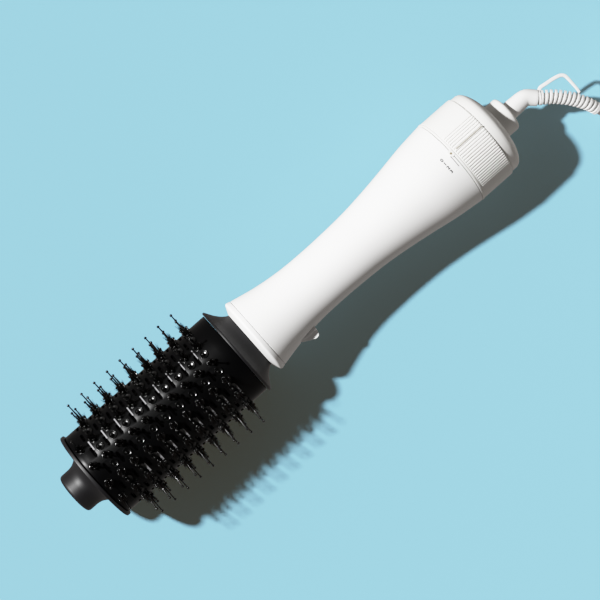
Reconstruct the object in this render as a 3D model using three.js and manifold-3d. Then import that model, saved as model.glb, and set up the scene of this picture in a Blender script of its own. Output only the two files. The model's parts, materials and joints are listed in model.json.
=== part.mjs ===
// Hot air brush: an oval vented bristle barrel that pulls off a round handle, which holds the heater, the
// motor and fan, a ring dial and a swivelling mains cord. Millimetres, +Z up.
//
// The brush lies on its lowest bristle tips and on the lower edge of its dial, so the whole brush is tilted
// a little about Y. Inside the tilted group, X runs along the brush's axis from the cool tip to the cord,
// and 0 is a point in the front third of the handle. The origin of the whole part is the bottom centre of
// the brush's own box, without the free cord.

import * as THREE from 'three';
import { mergeVertices } from 'three/addons/utils/BufferGeometryUtils.js';
import Module from 'manifold-3d';

const wasm = await Module();
wasm.setup();

// ---------------------------------------------------------------- driving dimensions

const GAP = 0.3; // between pieces that touch

// Barrel and its ends
const BARREL_FRONT = -175.5;
const BARREL_REAR = -54.9;
const BARREL_HALF_WIDTH = 31.8; // along Y
const BARREL_HALF_HEIGHT = 27.4; // along Z
const BARREL_WALL = 2.8;
const OVAL = BARREL_HALF_HEIGHT / BARREL_HALF_WIDTH;
const FLANGE_RADIUS = 33.7;
const TIP_END = -195.9;
const TIP_RADIUS = 14.7;

// Bristle rows
const ROW_COUNT = 14;
const ROW_TURN = THREE.MathUtils.degToRad(3); // of every row about the barrel's axis
const STATION_PITCH = 11.11; // along the barrel
const STATIONS = 9;
const FIRST_STATION = -159.5;
const ROW_WIDTH = 5.2;
const ROW_FRONT = -174.3;
const ROW_REAR = -63.7;
const ROW_DEPTH = 1.3; // of the strip below the barrel's surface
const PIN_LENGTH = 15.4; // beyond the barrel's surface
const VENT_LENGTH = 5; // around the barrel
const VENT_WIDTH = 3.4;
const VENTS_PER_GAP = 5; // one at every second station

// Neck and latch
const NECK_REAR = -12;
const NECK_RADIUS = 17.4;
const NECK_BORE = 16.2;
const LATCH_FRONT = -17;
const LATCH_THICKNESS = 2.2;
const CATCH_DEPTH = 1.2;
const BUTTON_TRAVEL = 2.2;

// Handle
const HANDLE_FRONT = -35.4;
const HANDLE_REAR = 134.7;
const HANDLE_RADII = [27.4, 23.58, 21.4, 20.88, 21.23, 22.19, 24.3, 27.1, 30.2, 32.3]; // at equal steps
const HANDLE_WALL = 1.9;

// Heater, motor and fan
const HEATER_FRONT = -8;
const HEATER_REAR = 58;
const HEATER_HALF_WIDTH = 12.4;
const COIL_RADIUS = 14.2;
const COIL_TURNS = 6;
const SLEEVE_RADIUS = 17.2;
const MOTOR_FRONT = 86;
const MOTOR_REAR = 108;
const MOTOR_RADIUS = 13.2;
const SHAFT_RADIUS = 1.2;
const FAN_FRONT = 113;
const FAN_REAR = 121;
const FAN_RADIUS = 20.2;
const FAN_BLADES = 7;
const DUCT_BORE = 21.2;

// Dial, rear cap and swivel
const DIAL_FRONT = 135;
const DIAL_REAR = 161.6;
const DIAL_RADIUS = 32.5;
const DIAL_BORE = 29.2;
const DIAL_ROUNDING = 0.1;
const DIAL_RIBS = 23;
const RIB_PITCH = 3.4; // degrees
const FIRST_RIB = -27; // degrees from the top, towards -Y
const CAP_END = 173.6;
const SOCKET_REAR = 185.9;
const SOCKET_RADIUS = 12.7;
const STEM_RADIUS = 5.9;

// Cord and plug
const CORD_DIAMETER = 6.5;
const COIL_MEAN_RADIUS = 32.5;
const COIL_WIDTH = 3 * CORD_DIAMETER;
const COIL_HEIGHT = 4 * CORD_DIAMETER;
const COIL_LIFT = 1.2; // the tie's band passes under the turns

// ---------------------------------------------------------------- materials

const plastic = (color, roughness) => new THREE.MeshStandardMaterial({ color, roughness, metalness: 0 });
const metal = (color, roughness) => new THREE.MeshStandardMaterial({ color, roughness, metalness: 1 });

const WHITE = plastic(0xf2f1ee, 0.35);
const DIAL_WHITE = plastic(0xebebe8, 0.45);
const CORD_WHITE = plastic(0xeeeeec, 0.5);
const BLACK_GLOSS = plastic(0x0b0b0c, 0.15);
const CHARCOAL = plastic(0x3a393b, 0.5);
const BRISTLE_BLACK = plastic(0x0e0d0d, 0.3);
const INNER_BLACK = plastic(0x1c1c1e, 0.6);
const MICA = plastic(0xb8a888, 0.6);
const BOARD = plastic(0x2f6b3c, 0.5);
const TIE_BLACK = plastic(0x202022, 0.8);
const STEEL = metal(0xb9bcc0, 0.3);
const BRASS = metal(0xc8a050, 0.35);
const HEATER_WIRE = metal(0x8c8880, 0.45);

// ---------------------------------------------------------------- solids from three.js shapes

/** A closed, outward-facing solid from any closed three.js geometry. */
function solid(geometry) {
  const bare = geometry.clone();
  bare.deleteAttribute('normal');
  bare.deleteAttribute('uv');
  const merged = mergeVertices(bare, 1e-4);
  const place = merged.attributes.position;
  const index = merged.index.array;
  const corners = [0, 1, 2].map(() => new THREE.Vector3());
  const triangles = [];
  let volume = 0;
  for (let i = 0; i < index.length; i += 3) {
    const [a, b, c] = [index[i], index[i + 1], index[i + 2]];
    if (a === b || b === c || c === a) continue;
    [a, b, c].forEach((vertex, k) => corners[k].fromBufferAttribute(place, vertex));
    volume += corners[0].dot(corners[1].cross(corners[2]));
    triangles.push([a, b, c]);
  }
  if (volume < 0) triangles.forEach((triangle) => triangle.reverse());
  return new wasm.Manifold(new wasm.Mesh({
    numProp: 3,
    vertProperties: new Float32Array(place.array),
    triVerts: new Uint32Array(triangles.flat()),
  }));
}

/** Joins several solids into one. */
const join = (...solids) => solids.reduce((whole, next) => whole.add(next));

/** Cuts each of the tools out of a solid. */
const cut = (whole, ...tools) => tools.reduce((rest, tool) => rest.subtract(tool), whole);

/** A named mesh from a solid. */
function mesh(name, body, material) {
  const { vertProperties, triVerts } = body.getMesh();
  const geometry = new THREE.BufferGeometry();
  geometry.setAttribute('position', new THREE.BufferAttribute(vertProperties, 3));
  geometry.setIndex(new THREE.BufferAttribute(triVerts, 1));
  geometry.computeVertexNormals();
  const result = new THREE.Mesh(geometry, material);
  result.name = name;
  return result;
}

/** A geometry turned about the X axis from an outline of [x, radius] points, with a corner at start. */
function turnedGeometry(outline, sides = 24, start = 0) {
  const points = outline.map(([x, r]) => new THREE.Vector2(r, x));
  const onAxis = points[0].x === 0 && points.at(-1).x === 0;
  if (!onAxis) points.push(points[0].clone());
  return new THREE.LatheGeometry(points, sides, start).rotateZ(-Math.PI / 2);
}

const turned = (outline, sides) => solid(turnedGeometry(outline, sides));

/** A plain tube or disc about the X axis. */
function ring(x0, x1, outer, inner = 0, sides = 24) {
  if (inner === 0) return turned([[x0, 0], [x0, outer], [x1, outer], [x1, 0]], sides);
  return turned([[x0, inner], [x0, outer], [x1, outer], [x1, inner]], sides);
}

/** A box given by its low and high corners. */
function box(low, high) {
  const size = high.map((value, i) => value - low[i]);
  const middle = high.map((value, i) => (value + low[i]) / 2);
  return solid(new THREE.BoxGeometry(...size).translate(...middle));
}

/** A round rod between two points. */
function rod(from, to, radius, sides = 12) {
  const start = new THREE.Vector3(...from);
  const along = new THREE.Vector3(...to).sub(start);
  const geometry = new THREE.CylinderGeometry(radius, radius, along.length(), sides);
  const direction = along.clone().normalize();
  const turn = new THREE.Quaternion().setFromUnitVectors(new THREE.Vector3(0, 1, 0), direction);
  geometry.applyQuaternion(turn).translate(...start.addScaledVector(along, 0.5).toArray());
  return solid(geometry);
}

/** A tube of constant section along a curve. */
function tubeAlong(curve, radius, sides, steps) {
  const circle = new THREE.Shape().absarc(0, 0, radius, 0, 2 * Math.PI);
  const section = new THREE.Shape(circle.getSpacedPoints(sides).slice(0, sides));
  return solid(new THREE.ExtrudeGeometry(section, { steps, bevelEnabled: false, extrudePath: curve }));
}

/** Bends a geometry that lies along +X from 0, so that its X axis follows a curve from its start. */
function bendAlong(geometry, curve) {
  const length = curve.getLength();
  const up = new THREE.Vector3(0, 0, 1);
  const place = geometry.attributes.position;
  for (let i = 0; i < place.count; i += 1) {
    const t = THREE.MathUtils.clamp(place.getX(i) / length, 0, 1);
    const tangent = curve.getTangentAt(t);
    const side = up.clone().cross(tangent).normalize();
    const raised = tangent.clone().cross(side);
    const point = curve.getPointAt(t);
    point.addScaledVector(side, place.getY(i)).addScaledVector(raised, place.getZ(i));
    place.setXYZ(i, ...point.toArray());
  }
  return geometry;
}

/** A smooth curve through a list of [x, y, z] points. */
const smooth = (points) => new THREE.CatmullRomCurve3(points.map((p) => new THREE.Vector3(...p)));

/** A solid turned about the X axis, as a copy. */
const aboutX = (body, degrees) => body.rotate([degrees, 0, 0]);

/** Every n-th part of a full turn, in degrees. */
const spokes = (count, start = 0) => Array.from({ length: count }, (_, i) => start + (360 * i) / count);

// ---------------------------------------------------------------- the brush head

/** Presses a geometry towards the barrel's oval: fully in front of ovalUntil, not at all behind roundFrom. */
function pressOval(geometry, ovalUntil, roundFrom) {
  const place = geometry.attributes.position;
  for (let i = 0; i < place.count; i += 1) {
    const roundness = THREE.MathUtils.smoothstep(place.getX(i), ovalUntil, roundFrom);
    place.setZ(i, place.getZ(i) * THREE.MathUtils.lerp(OVAL, 1, roundness));
  }
  return geometry;
}

/** An oval ring about the X axis, with its size along Y given, and a flat facet under each row and vent. */
function ovalRing(x0, x1, outer, inner) {
  const outline = [[x0, inner], [x0, outer], [x1, outer], [x1, inner]];
  const firstCorner = Math.PI / (2 * ROW_COUNT) + ROW_TURN;
  return solid(pressOval(turnedGeometry(outline, 2 * ROW_COUNT, firstCorner), x1, x1 + 1));
}

/** The place and outward turn on the barrel's surface at an angle round its oval, from +Y towards +Z. */
function surfaceFrame(angle) {
  const y = BARREL_HALF_WIDTH * Math.cos(angle);
  const z = BARREL_HALF_HEIGHT * Math.sin(angle);
  const turn = Math.atan2(BARREL_HALF_WIDTH * Math.sin(angle), BARREL_HALF_HEIGHT * Math.cos(angle));
  const turned = new THREE.Matrix4().makeRotationX(turn - Math.PI / 2);
  return new THREE.Matrix4().makeTranslation(0, y, z).multiply(turned);
}

const rowAngle = (row) => (2 * Math.PI * row) / ROW_COUNT + ROW_TURN;

/** The stations along one row: the rows near the top and the bottom have one more, at the front. */
function stationsOf(row) {
  const nearTopOrBottom = Math.abs(Math.sin(rowAngle(row))) > 0.65;
  const extra = nearTopOrBottom ? 1 : 0;
  return Array.from({ length: STATIONS + extra }, (_, i) => FIRST_STATION + (i - extra) * STATION_PITCH);
}

/** A box in a row's own frame, where Z points out of the barrel, cut or placed by surfaceFrame. */
function boxOnSurface(angle, low, high) {
  const size = high.map((value, i) => value - low[i]);
  const middle = high.map((value, i) => (value + low[i]) / 2);
  const geometry = new THREE.BoxGeometry(...size).translate(...middle);
  return solid(geometry.applyMatrix4(surfaceFrame(angle)));
}

function barrel() {
  const tube = ovalRing(BARREL_FRONT, BARREL_REAR, BARREL_HALF_WIDTH, BARREL_HALF_WIDTH - BARREL_WALL);
  const cuts = [];
  for (let row = 0; row < ROW_COUNT; row += 1) {
    const half = ROW_WIDTH / 2 + GAP;
    const floor = -ROW_DEPTH - GAP;
    cuts.push(boxOnSurface(rowAngle(row), [ROW_FRONT - GAP, -half, floor], [ROW_REAR + GAP, half, 3]));
    for (let vent = 0; vent < VENTS_PER_GAP; vent += 1) {
      const x = FIRST_STATION + (2 * vent - 0.5) * STATION_PITCH;
      const low = [x - VENT_WIDTH / 2, -VENT_LENGTH / 2, -5];
      cuts.push(boxOnSurface(rowAngle(row + 0.5), low, [x + VENT_WIDTH / 2, VENT_LENGTH / 2, 3]));
    }
  }
  return mesh('barrel', tube.subtract(join(...cuts)), BLACK_GLOSS);
}

/** One bristle strip in its own frame: X along the barrel, Z outwards, 0 at the barrel's surface. */
function bristleRow(row) {
  const half = ROW_WIDTH / 2;
  const strip = box([ROW_FRONT, -half, -ROW_DEPTH], [ROW_REAR, half, 0.4]);
  const pins = stationsOf(row).map((x) => {
    const pin = new THREE.CylinderGeometry(0.9, 1.6, PIN_LENGTH, 4).rotateX(Math.PI / 2);
    return solid(pin.translate(x, 0, PIN_LENGTH / 2));
  });
  const result = mesh(`bristle_row_${String(row + 1).padStart(2, '0')}`, join(strip, ...pins), BRISTLE_BLACK);
  result.applyMatrix4(surfaceFrame(rowAngle(row)));
  return result;
}

function coolTip() {
  const outline = [
    [TIP_END, 0], [TIP_END, TIP_RADIUS - 2.4], [TIP_END + 0.7, TIP_RADIUS - 0.8], [TIP_END + 2.4, TIP_RADIUS],
    [-187.3, TIP_RADIUS], [-184, 15.4], [-181, 17.2], [-178.5, 19.6],
    [-178.5, 7], [-191, 7], [-191, 0],
  ];
  return mesh('cool_tip', turned(outline), CHARCOAL);
}

/** The screw that holds the front plate to the air deflector, hidden inside the cool tip. */
function tipScrew() {
  const head = ring(-181.5, -178.5, 4.4, 0, 12);
  const shank = ring(-179, -166, 1.7, 0, 12);
  return mesh('tip_screw', join(head, shank), STEEL);
}

function frontPlate() {
  const plate = ovalRing(-178.2, BARREL_FRONT - GAP, FLANGE_RADIUS, 2);
  const register = ovalRing(-176, -173, BARREL_HALF_WIDTH - BARREL_WALL - GAP, 26);
  return mesh('front_plate', join(plate, register), CHARCOAL);
}

/** A slim cone inside the barrel that turns the air out through the vents. */
function airDeflector() {
  const outline = [
    [-172.7, 2], [-172.7, 22], [-171, 22], [-150, 9], [-112, 3.4], [-110, 0],
    [-112, 0], [-150, 7.4], [-169, 19], [-170.8, 19], [-170.8, 4], [-164, 4], [-164, 2],
  ];
  return mesh('air_deflector', turned(outline, 20), INNER_BLACK);
}

function headNeck() {
  const outline = [
    [-54.6, 27.5], [-54.6, FLANGE_RADIUS], [-52.9, FLANGE_RADIUS], [-52.5, 32.6], [-51.2, 30.4],
    [-49.2, 27.3], [-46.8, 24.5], [-44.2, 22.3], [-41.6, 20.9], [-36.5, NECK_RADIUS], [NECK_REAR, NECK_RADIUS],
    [NECK_REAR, NECK_BORE], [-37, NECK_BORE], [-45, 19.6], [-51, 25],
  ];
  const body = solid(pressOval(turnedGeometry(outline, 24), -52.9, -42));
  const slot = [LATCH_FRONT - GAP, 0, -4];
  const notchLow = [slot[0], NECK_RADIUS - CATCH_DEPTH - GAP - 0.4, slot[2]];
  const notch = box(notchLow, [LATCH_FRONT + LATCH_THICKNESS + GAP, NECK_RADIUS + 2, 4]);
  return mesh('head_neck', cut(body, notch), CHARCOAL);
}

function brushHead() {
  const head = new THREE.Group();
  head.add(barrel(), coolTip(), tipScrew(), frontPlate(), airDeflector(), headNeck());
  for (let row = 0; row < ROW_COUNT; row += 1) head.add(bristleRow(row));
  return head;
}

// ---------------------------------------------------------------- the handle's casing

const handleCurve = new THREE.SplineCurve(HANDLE_RADII.map((radius, i) => new THREE.Vector2(
  HANDLE_FRONT + ((HANDLE_REAR - HANDLE_FRONT) * i) / (HANDLE_RADII.length - 1),
  radius,
)));

/** The release button's window through the casing, on the -Y side. */
const WINDOW = { front: -18.2, rear: -4.2, halfHeight: 6.2 };

function handleHalf(name, upper) {
  const steps = 10;
  const outer = handleCurve.getPoints(steps).map((point) => [point.x, point.y]);
  const inner = outer.map(([x, r]) => [x, r - HANDLE_WALL]).reverse();
  const shell = turned([...outer, ...inner], 28);
  const gapHalf = GAP / 2;
  const zRange = upper ? [-40, gapHalf] : [-gapHalf, 40];
  const otherHalf = box([-60, -50, zRange[0]], [160, 50, zRange[1]]);
  const window = box([WINDOW.front, -40, -WINDOW.halfHeight], [WINDOW.rear, -15, WINDOW.halfHeight]);
  return mesh(name, cut(shell, otherHalf, window), WHITE);
}

function frontCollar() {
  const outline = [
    [-42.2, 21.4], [-39.3, 27.9], [-38.4, 28.4], [-35.7, 27.6],
    [-35.7, 24.9], [-27, 22.9], [-27, 18.2], [-36, 18.2],
  ];
  return mesh('front_collar', turned(outline, 28), WHITE);
}

/** The flange-ended pipe that blows into the brush head, with a grille; the head's neck slides over it. */
function outletTube() {
  const outline = [
    [-50, 14.4], [-50, 15.6], [-11, 15.6], [-11, SLEEVE_RADIUS], [-9, SLEEVE_RADIUS], [-9, 14.4],
  ];
  const reach = 14.9;
  const upright = box([-47, -0.6, -reach], [-45.2, 0.6, reach]);
  const bars = [upright, aboutX(upright, 60), aboutX(upright, 120)];
  return mesh('outlet_tube', join(turned(outline), ...bars), INNER_BLACK);
}

/** The sliding latch: a thumb wedge outside, and a plate round the neck whose far side holds the catch. */
function releaseButton() {
  const innerFace = -20.2;
  const wedge = new THREE.Shape([
    [WINDOW.front + 0.4, innerFace], [WINDOW.front + 0.4, -23.8], [-8.6, -28.6], [-5.6, -28],
    [WINDOW.rear - 0.4, -24.2], [WINDOW.rear - 0.4, innerFace],
  ].map(([x, y]) => new THREE.Vector2(x, y)));
  const halfHeight = WINDOW.halfHeight - 0.4;
  const thumb = new THREE.ExtrudeGeometry(wedge, { depth: 2 * halfHeight, bevelEnabled: false });
  const plate = latchPlate();
  return mesh('release_button', join(solid(thumb.translate(0, 0, -halfHeight)), plate), WHITE);
}

function latchPlate() {
  const rear = LATCH_FRONT + LATCH_THICKNESS;
  const clearance = NECK_RADIUS + 0.4;
  const outside = ring(LATCH_FRONT, rear, 20.6).scale([1, 0.96, 1]).translate([0, -1.1, 0]);
  const bore = ring(LATCH_FRONT - 1, rear + 1, clearance);
  const slide = box([LATCH_FRONT - 1, -BUTTON_TRAVEL, -clearance], [rear + 1, 0, clearance]);
  const catchBlock = box([LATCH_FRONT, NECK_RADIUS - CATCH_DEPTH, -3.4], [rear, clearance + 0.6, 3.4]);
  return join(cut(outside, bore, bore.translate([0, -BUTTON_TRAVEL, 0]), slide), catchBlock);
}

/** A compression spring along Y between the heater's sleeve and the button. */
function buttonSpring() {
  const turns = 3;
  const from = -17.6;
  const to = -19.8;
  const points = [];
  for (let i = 0; i <= turns * 8; i += 1) {
    const angle = (2 * Math.PI * i) / 8;
    const y = THREE.MathUtils.lerp(from, to, i / (turns * 8));
    points.push([-8 + 1.6 * Math.cos(angle), y, 1.6 * Math.sin(angle)]);
  }
  return mesh('button_spring', tubeAlong(smooth(points), 0.2, 4, turns * 8), STEEL);
}

// ---------------------------------------------------------------- heater

/** One of two crossed mica boards; each is slotted for half its length, so that they pass each other. */
function heaterPlate(name, upright) {
  const middle = (HEATER_FRONT + HEATER_REAR) / 2;
  const tab = SLEEVE_RADIUS - 1.2;
  const bodyBox = box(
    [HEATER_FRONT + 5, -HEATER_HALF_WIDTH, -0.4], [HEATER_REAR - 5, HEATER_HALF_WIDTH, 0.4],
  );
  const ends = [HEATER_FRONT, HEATER_REAR - 6].map((x) => box([x, -tab, -0.4], [x + 6, tab, 0.4]));
  const slotX = upright ? [HEATER_FRONT - 1, middle + 0.2] : [middle - 0.2, HEATER_REAR + 1];
  const slot = box([slotX[0], -0.75, -1], [slotX[1], 0.75, 1]);
  const plate = cut(join(bodyBox, ...ends), slot);
  return mesh(name, upright ? aboutX(plate, 90) : plate, MICA);
}

function heaterCoil() {
  const perTurn = 8;
  const points = [];
  for (let i = 0; i <= COIL_TURNS * perTurn; i += 1) {
    const angle = (2 * Math.PI * i) / perTurn;
    const x = THREE.MathUtils.lerp(HEATER_FRONT + 9, HEATER_REAR - 9, i / (COIL_TURNS * perTurn));
    points.push([x, COIL_RADIUS * Math.cos(angle), COIL_RADIUS * Math.sin(angle)]);
  }
  return mesh('heater_coil', tubeAlong(smooth(points), 0.55, 4, COIL_TURNS * perTurn), HEATER_WIRE);
}

function heaterSafety() {
  const thermostat = rod([HEATER_FRONT + 8, 5.6, 5.6], [HEATER_FRONT + 13, 5.6, 5.6], 3.6);
  const fuse = rod([HEATER_FRONT + 10, -5, -5], [HEATER_FRONT + 22, -5, -5], 1.7, 10);
  return [mesh('thermostat', thermostat, STEEL), mesh('thermal_fuse', fuse, STEEL)];
}

function heater() {
  const sleeve = ring(HEATER_FRONT - 0.7, HEATER_REAR + 1, SLEEVE_RADIUS, SLEEVE_RADIUS - 0.7);
  const group = new THREE.Group();
  group.add(mesh('heater_sleeve', sleeve, MICA));
  group.add(heaterPlate('heater_plate_flat', false), heaterPlate('heater_plate_upright', true));
  group.add(heaterCoil(), ...heaterSafety());
  return group;
}

// ---------------------------------------------------------------- motor, fan and board

/** An air duct with a cup that holds the motor on five vanes. */
function fanDuct() {
  const duct = ring(84, 126, DUCT_BORE + 0.9, DUCT_BORE);
  const cup = ring(90, 104, MOTOR_RADIUS + 1.5, MOTOR_RADIUS + GAP, 24);
  const vane = box([91, -0.6, MOTOR_RADIUS + 1], [103, 0.6, DUCT_BORE + 0.5]);
  return mesh('fan_duct', join(duct, cup, ...spokes(5).map((angle) => aboutX(vane, angle))), INNER_BLACK);
}

function motorCan() {
  const outline = [
    [MOTOR_FRONT, 1.6], [MOTOR_FRONT, 12], [MOTOR_FRONT + 1.2, MOTOR_RADIUS], [MOTOR_REAR, MOTOR_RADIUS],
    [MOTOR_REAR, 4], [MOTOR_REAR + 2, 4], [MOTOR_REAR + 2, 1.6],
  ];
  return mesh('motor_can', turned(outline, 24), STEEL);
}

function motorEndBell() {
  const cap = ring(MOTOR_FRONT - 4, MOTOR_FRONT - GAP, 11.5, 1.6, 24);
  const tag = box([MOTOR_FRONT - 6.5, 5, -1.2], [MOTOR_FRONT - 3.5, 7.5, 1.2]);
  return mesh('motor_end_bell', join(cap, tag), INNER_BLACK);
}

function fan() {
  const hub = turned([[FAN_FRONT, SHAFT_RADIUS + GAP], [FAN_FRONT, 7.6], [FAN_REAR, 7.6], [FAN_REAR + 2, 5],
    [FAN_REAR + 2, SHAFT_RADIUS + GAP]], 14);
  const blade = solid(new THREE.BoxGeometry(1, 7.4, FAN_RADIUS - 7)
    .rotateZ(THREE.MathUtils.degToRad(38)).translate((FAN_FRONT + FAN_REAR) / 2, 0, (FAN_RADIUS + 7) / 2));
  const blades = spokes(FAN_BLADES).map((angle) => aboutX(blade, angle));
  const shaft = ring(MOTOR_FRONT - 3.2, FAN_REAR + 1.5, SHAFT_RADIUS, 0, 10);
  const group = new THREE.Group();
  group.add(mesh('fan_impeller', join(hub, ...blades), INNER_BLACK), mesh('motor_shaft', shaft, STEEL));
  return group;
}

/** A half-round board below the air path, with its four rectifier diodes and a capacitor as one assembly. */
function circuitBoard() {
  const plate = cut(ring(130, 131.6, 24.6, 12), box([120, -40, -2], [140, 40, 40]));
  const diode = box([131.4, -1.4, -20], [134, 1.4, -16]);
  const diodes = [-45, -18, 18, 45].map((angle) => aboutX(diode, angle));
  return mesh('circuit_board', join(plate, ...diodes), BOARD);
}

// ---------------------------------------------------------------- dial, switch and rear end

/** The tube that carries the two casing halves, the dial and the rear cap. */
function rearHousing() {
  const tube = ring(122, 161.5, 28.4, 26.4, 28);
  const slot = box([145, -13.5, 20], [152, 4, 34]);
  const posts = spokes(2, 0).map((angle) => {
    const pillar = ring(154, 167.7, 2.9, 0, 12).translate([0, 20, 0]);
    const post = join(pillar, box([155, 21, -1.4], [161.3, 27, 1.4]));
    return aboutX(post, angle);
  });
  return mesh('rear_housing', join(cut(tube, slot), ...posts), INNER_BLACK);
}

/** The turning ring, with grip ribs, a pointer, and a recess that drives the switch's slider. */
function dialRing() {
  const outline = [
    [DIAL_FRONT, DIAL_BORE], [DIAL_FRONT, DIAL_RADIUS - 0.5], [DIAL_FRONT + 0.5, DIAL_RADIUS - DIAL_ROUNDING],
    [DIAL_REAR - 0.4, DIAL_RADIUS - DIAL_ROUNDING], [DIAL_REAR, DIAL_RADIUS - 0.5], [DIAL_REAR, DIAL_BORE],
  ];
  const body = turned(outline, 36);
  const rib = box([DIAL_FRONT + 2.7, -0.5, DIAL_RADIUS - 1], [DIAL_REAR - 0.5, 0.5, DIAL_RADIUS + 0.15]);
  const ribs = Array.from({ length: DIAL_RIBS }, (_, i) => aboutX(rib, FIRST_RIB + RIB_PITCH * i));
  const tabs = [-1.8, 1.8].map((y) => box([147, y - 0.6, 28.6], [150, y + 0.6, 30]));
  return mesh('dial_ring', join(body, ...ribs, ...tabs), DIAL_WHITE);
}

/** The switch under the dial, with the groove that its slider travels in. */
function slideSwitch() {
  const body = box([143, -13.5, 15], [154, 9, 22]);
  const leg = box([145, 5, 21.5], [152, 7, 24.9]);
  return mesh('slide_switch', cut(join(body, leg), box([146, -12, 19.4], [151, 4, 23])), INNER_BLACK);
}

const switchSlider = () => mesh('switch_slider', box([147.2, -0.8, 21.4], [149.8, 0.8, 28.9]), WHITE);

function rearCap() {
  const outline = [
    [161.9, 28.7], [161.9, 31.2], [166.8, 31.1], [168.6, 30.3], [170.3, 28.4], [171.7, 26.2], [172.9, 23.2],
    [CAP_END, 21.5], [CAP_END, 10.2], [171.4, 10.2], [171.4, 22.6], [169.4, 26.4], [167, 28.3],
  ];
  const body = turned(outline);
  const slot = box([170, 13.6, -1], [175, 19.4, 1]);
  const slots = spokes(16, 11.25);
  const pad = ring(170.2, 172, 3.6, 0, 12).translate([0, 20, 0]);
  const countersink = join(ring(170, 175, 1.9, 0, 12), ring(CAP_END - 1.7, 175, 3, 0, 12)).translate([0, 20, 0]);
  const padded = join(body, pad, aboutX(pad, 180));
  const holes = [...slots.map((angle) => aboutX(slot, angle)), countersink, aboutX(countersink, 180)];
  return mesh('rear_cap', cut(padded, ...holes), DIAL_WHITE);
}

function capScrew(name, angle) {
  const screw = join(ring(CAP_END - 1.4, CAP_END - 0.2, 2.7, 0, 12), ring(168, CAP_END - 1, 1.5, 0, 10));
  return mesh(name, aboutX(screw.translate([0, 20, 0]), angle), STEEL);
}

function intakeFilter() {
  const disc = ring(168.3, 169.6, 23.2, 11.2);
  const holes = [0, 180].map((angle) => aboutX(ring(167, 171, 2.2, 0, 12).translate([0, 20, 0]), angle));
  return mesh('intake_filter', cut(disc, ...holes), INNER_BLACK);
}

/** The boss that carries the cord's swivel, clamped through the rear cap by its inner flange. */
function swivelSocket() {
  const outline = [
    [166, 6.3], [166, 9.8], [CAP_END + GAP, 9.8], [CAP_END + GAP, SOCKET_RADIUS],
    [SOCKET_REAR - 2, SOCKET_RADIUS], [SOCKET_REAR - 0.6, SOCKET_RADIUS - 0.6],
    [SOCKET_REAR, SOCKET_RADIUS - 2], [SOCKET_REAR, 6.3],
  ];
  return mesh('swivel_socket', turned(outline), WHITE);
}

// ---------------------------------------------------------------- swivel, strain relief and hanging loop

const ELBOW_PATH = smooth([[186, 0, 0], [193, 0, 0], [198.4, 0, 0], [202.7, -1.9, 0], [207.7, -5.9, 0]]);
const RELIEF_PATH = smooth([
  [207.95, -6.1, 0], [216.2, -12.2, -0.3], [222, -18, -0.9], [227, -24.2, -2.2], [231.2, -30.8, -4],
  [234.9, -38, -7.3],
]);

function swivelElbow() {
  const length = ELBOW_PATH.getLength();
  const outline = [[0, 0], [0, 6.3], [6, 6.2], [12, 5.8], [18, 5.6], [length, 5.4], [length, 0]];
  const arm = turnedGeometry(outline, 12);
  const stem = turned([
    [162.5, 0], [162.5, STEM_RADIUS], [163.7, STEM_RADIUS], [163.7, 4.9], [165.7, 4.9], [165.7, STEM_RADIUS],
    [186.3, STEM_RADIUS], [186.3, 6.7], [188, 6.5], [188, 0],
  ], 16);
  return mesh('swivel_elbow', join(stem, solid(bendAlong(arm, ELBOW_PATH))), CORD_WHITE);
}

const swivelClip = () => mesh('swivel_clip', ring(164, 165.4, 8.4, 5.2, 24), STEEL);

/** Two slip rings on the stem's inner end, which carry the mains across the turning joint. */
function slipContact() {
  const core = ring(155, 162.2, 2.4, 0, 12);
  const rings = [156, 159].map((x) => ring(x, x + 1.6, 4.4, 0, 12));
  return mesh('slip_contact', join(core, ...rings), BRASS);
}

function contactHolder() {
  const outline = [[151.6, 1], [151.6, 8.2], [161.5, 8.2], [161.5, 5.2], [153.4, 5.2], [153.4, 1]];
  const arm = box([154, -12, -1.5], [160, -7, 1.5]);
  return mesh('contact_holder', join(turned(outline, 20), arm), INNER_BLACK);
}

function strainRelief() {
  const length = RELIEF_PATH.getLength();
  const steps = 14;
  const outline = [[0, 0]];
  for (let i = 0; i <= steps; i += 1) {
    outline.push([(length * i) / steps, THREE.MathUtils.lerp(4.9, 4, i / steps)]);
  }
  outline.push([length, 0]);
  return mesh('strain_relief', solid(bendAlong(turnedGeometry(outline, 10), RELIEF_PATH)), CORD_WHITE);
}

const LOOP_PATH = smooth([
  [212.8, -1.6, 0], [217.9, -2.4, 0], [224.5, -3.3, -0.1], [229.3, -4.7, -0.3], [231.3, -6.7, -0.4],
  [231.8, -10, -0.6], [231.9, -14, -0.9], [231.9, -19.4, -1.3],
]);

const hangLoop = () => mesh('hang_loop', tubeAlong(LOOP_PATH, 1.1, 6, 14), CORD_WHITE);

// ---------------------------------------------------------------- the free cord, lying on the ground

const COIL_CENTRE = new THREE.Vector2(270.5, -63);
const TAIL_START = THREE.MathUtils.degToRad(60); // where the cord leaves the coil's top for the plug
const TAIL_TURN = THREE.MathUtils.degToRad(120);
const TAIL_RADIUS = 26;
const PLUG_LENGTH = 34;
const PLUG_THICKNESS = 12;

/** The lead's route on the ground from the strain relief, as steps from the coil's centre. */
const LEAD_ROUTE = [
  [-51.7, 14.5, 14.3], [-51, 6, 9.2], [-50.2, -3, 5.4], [-47.9, -12.5, 3.7], [-43.3, -22, 3.4],
  [-36, -30.8, 3.4], [-26.5, -38, 3.4], [-14.2, -43.6, 3.4],
];

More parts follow.
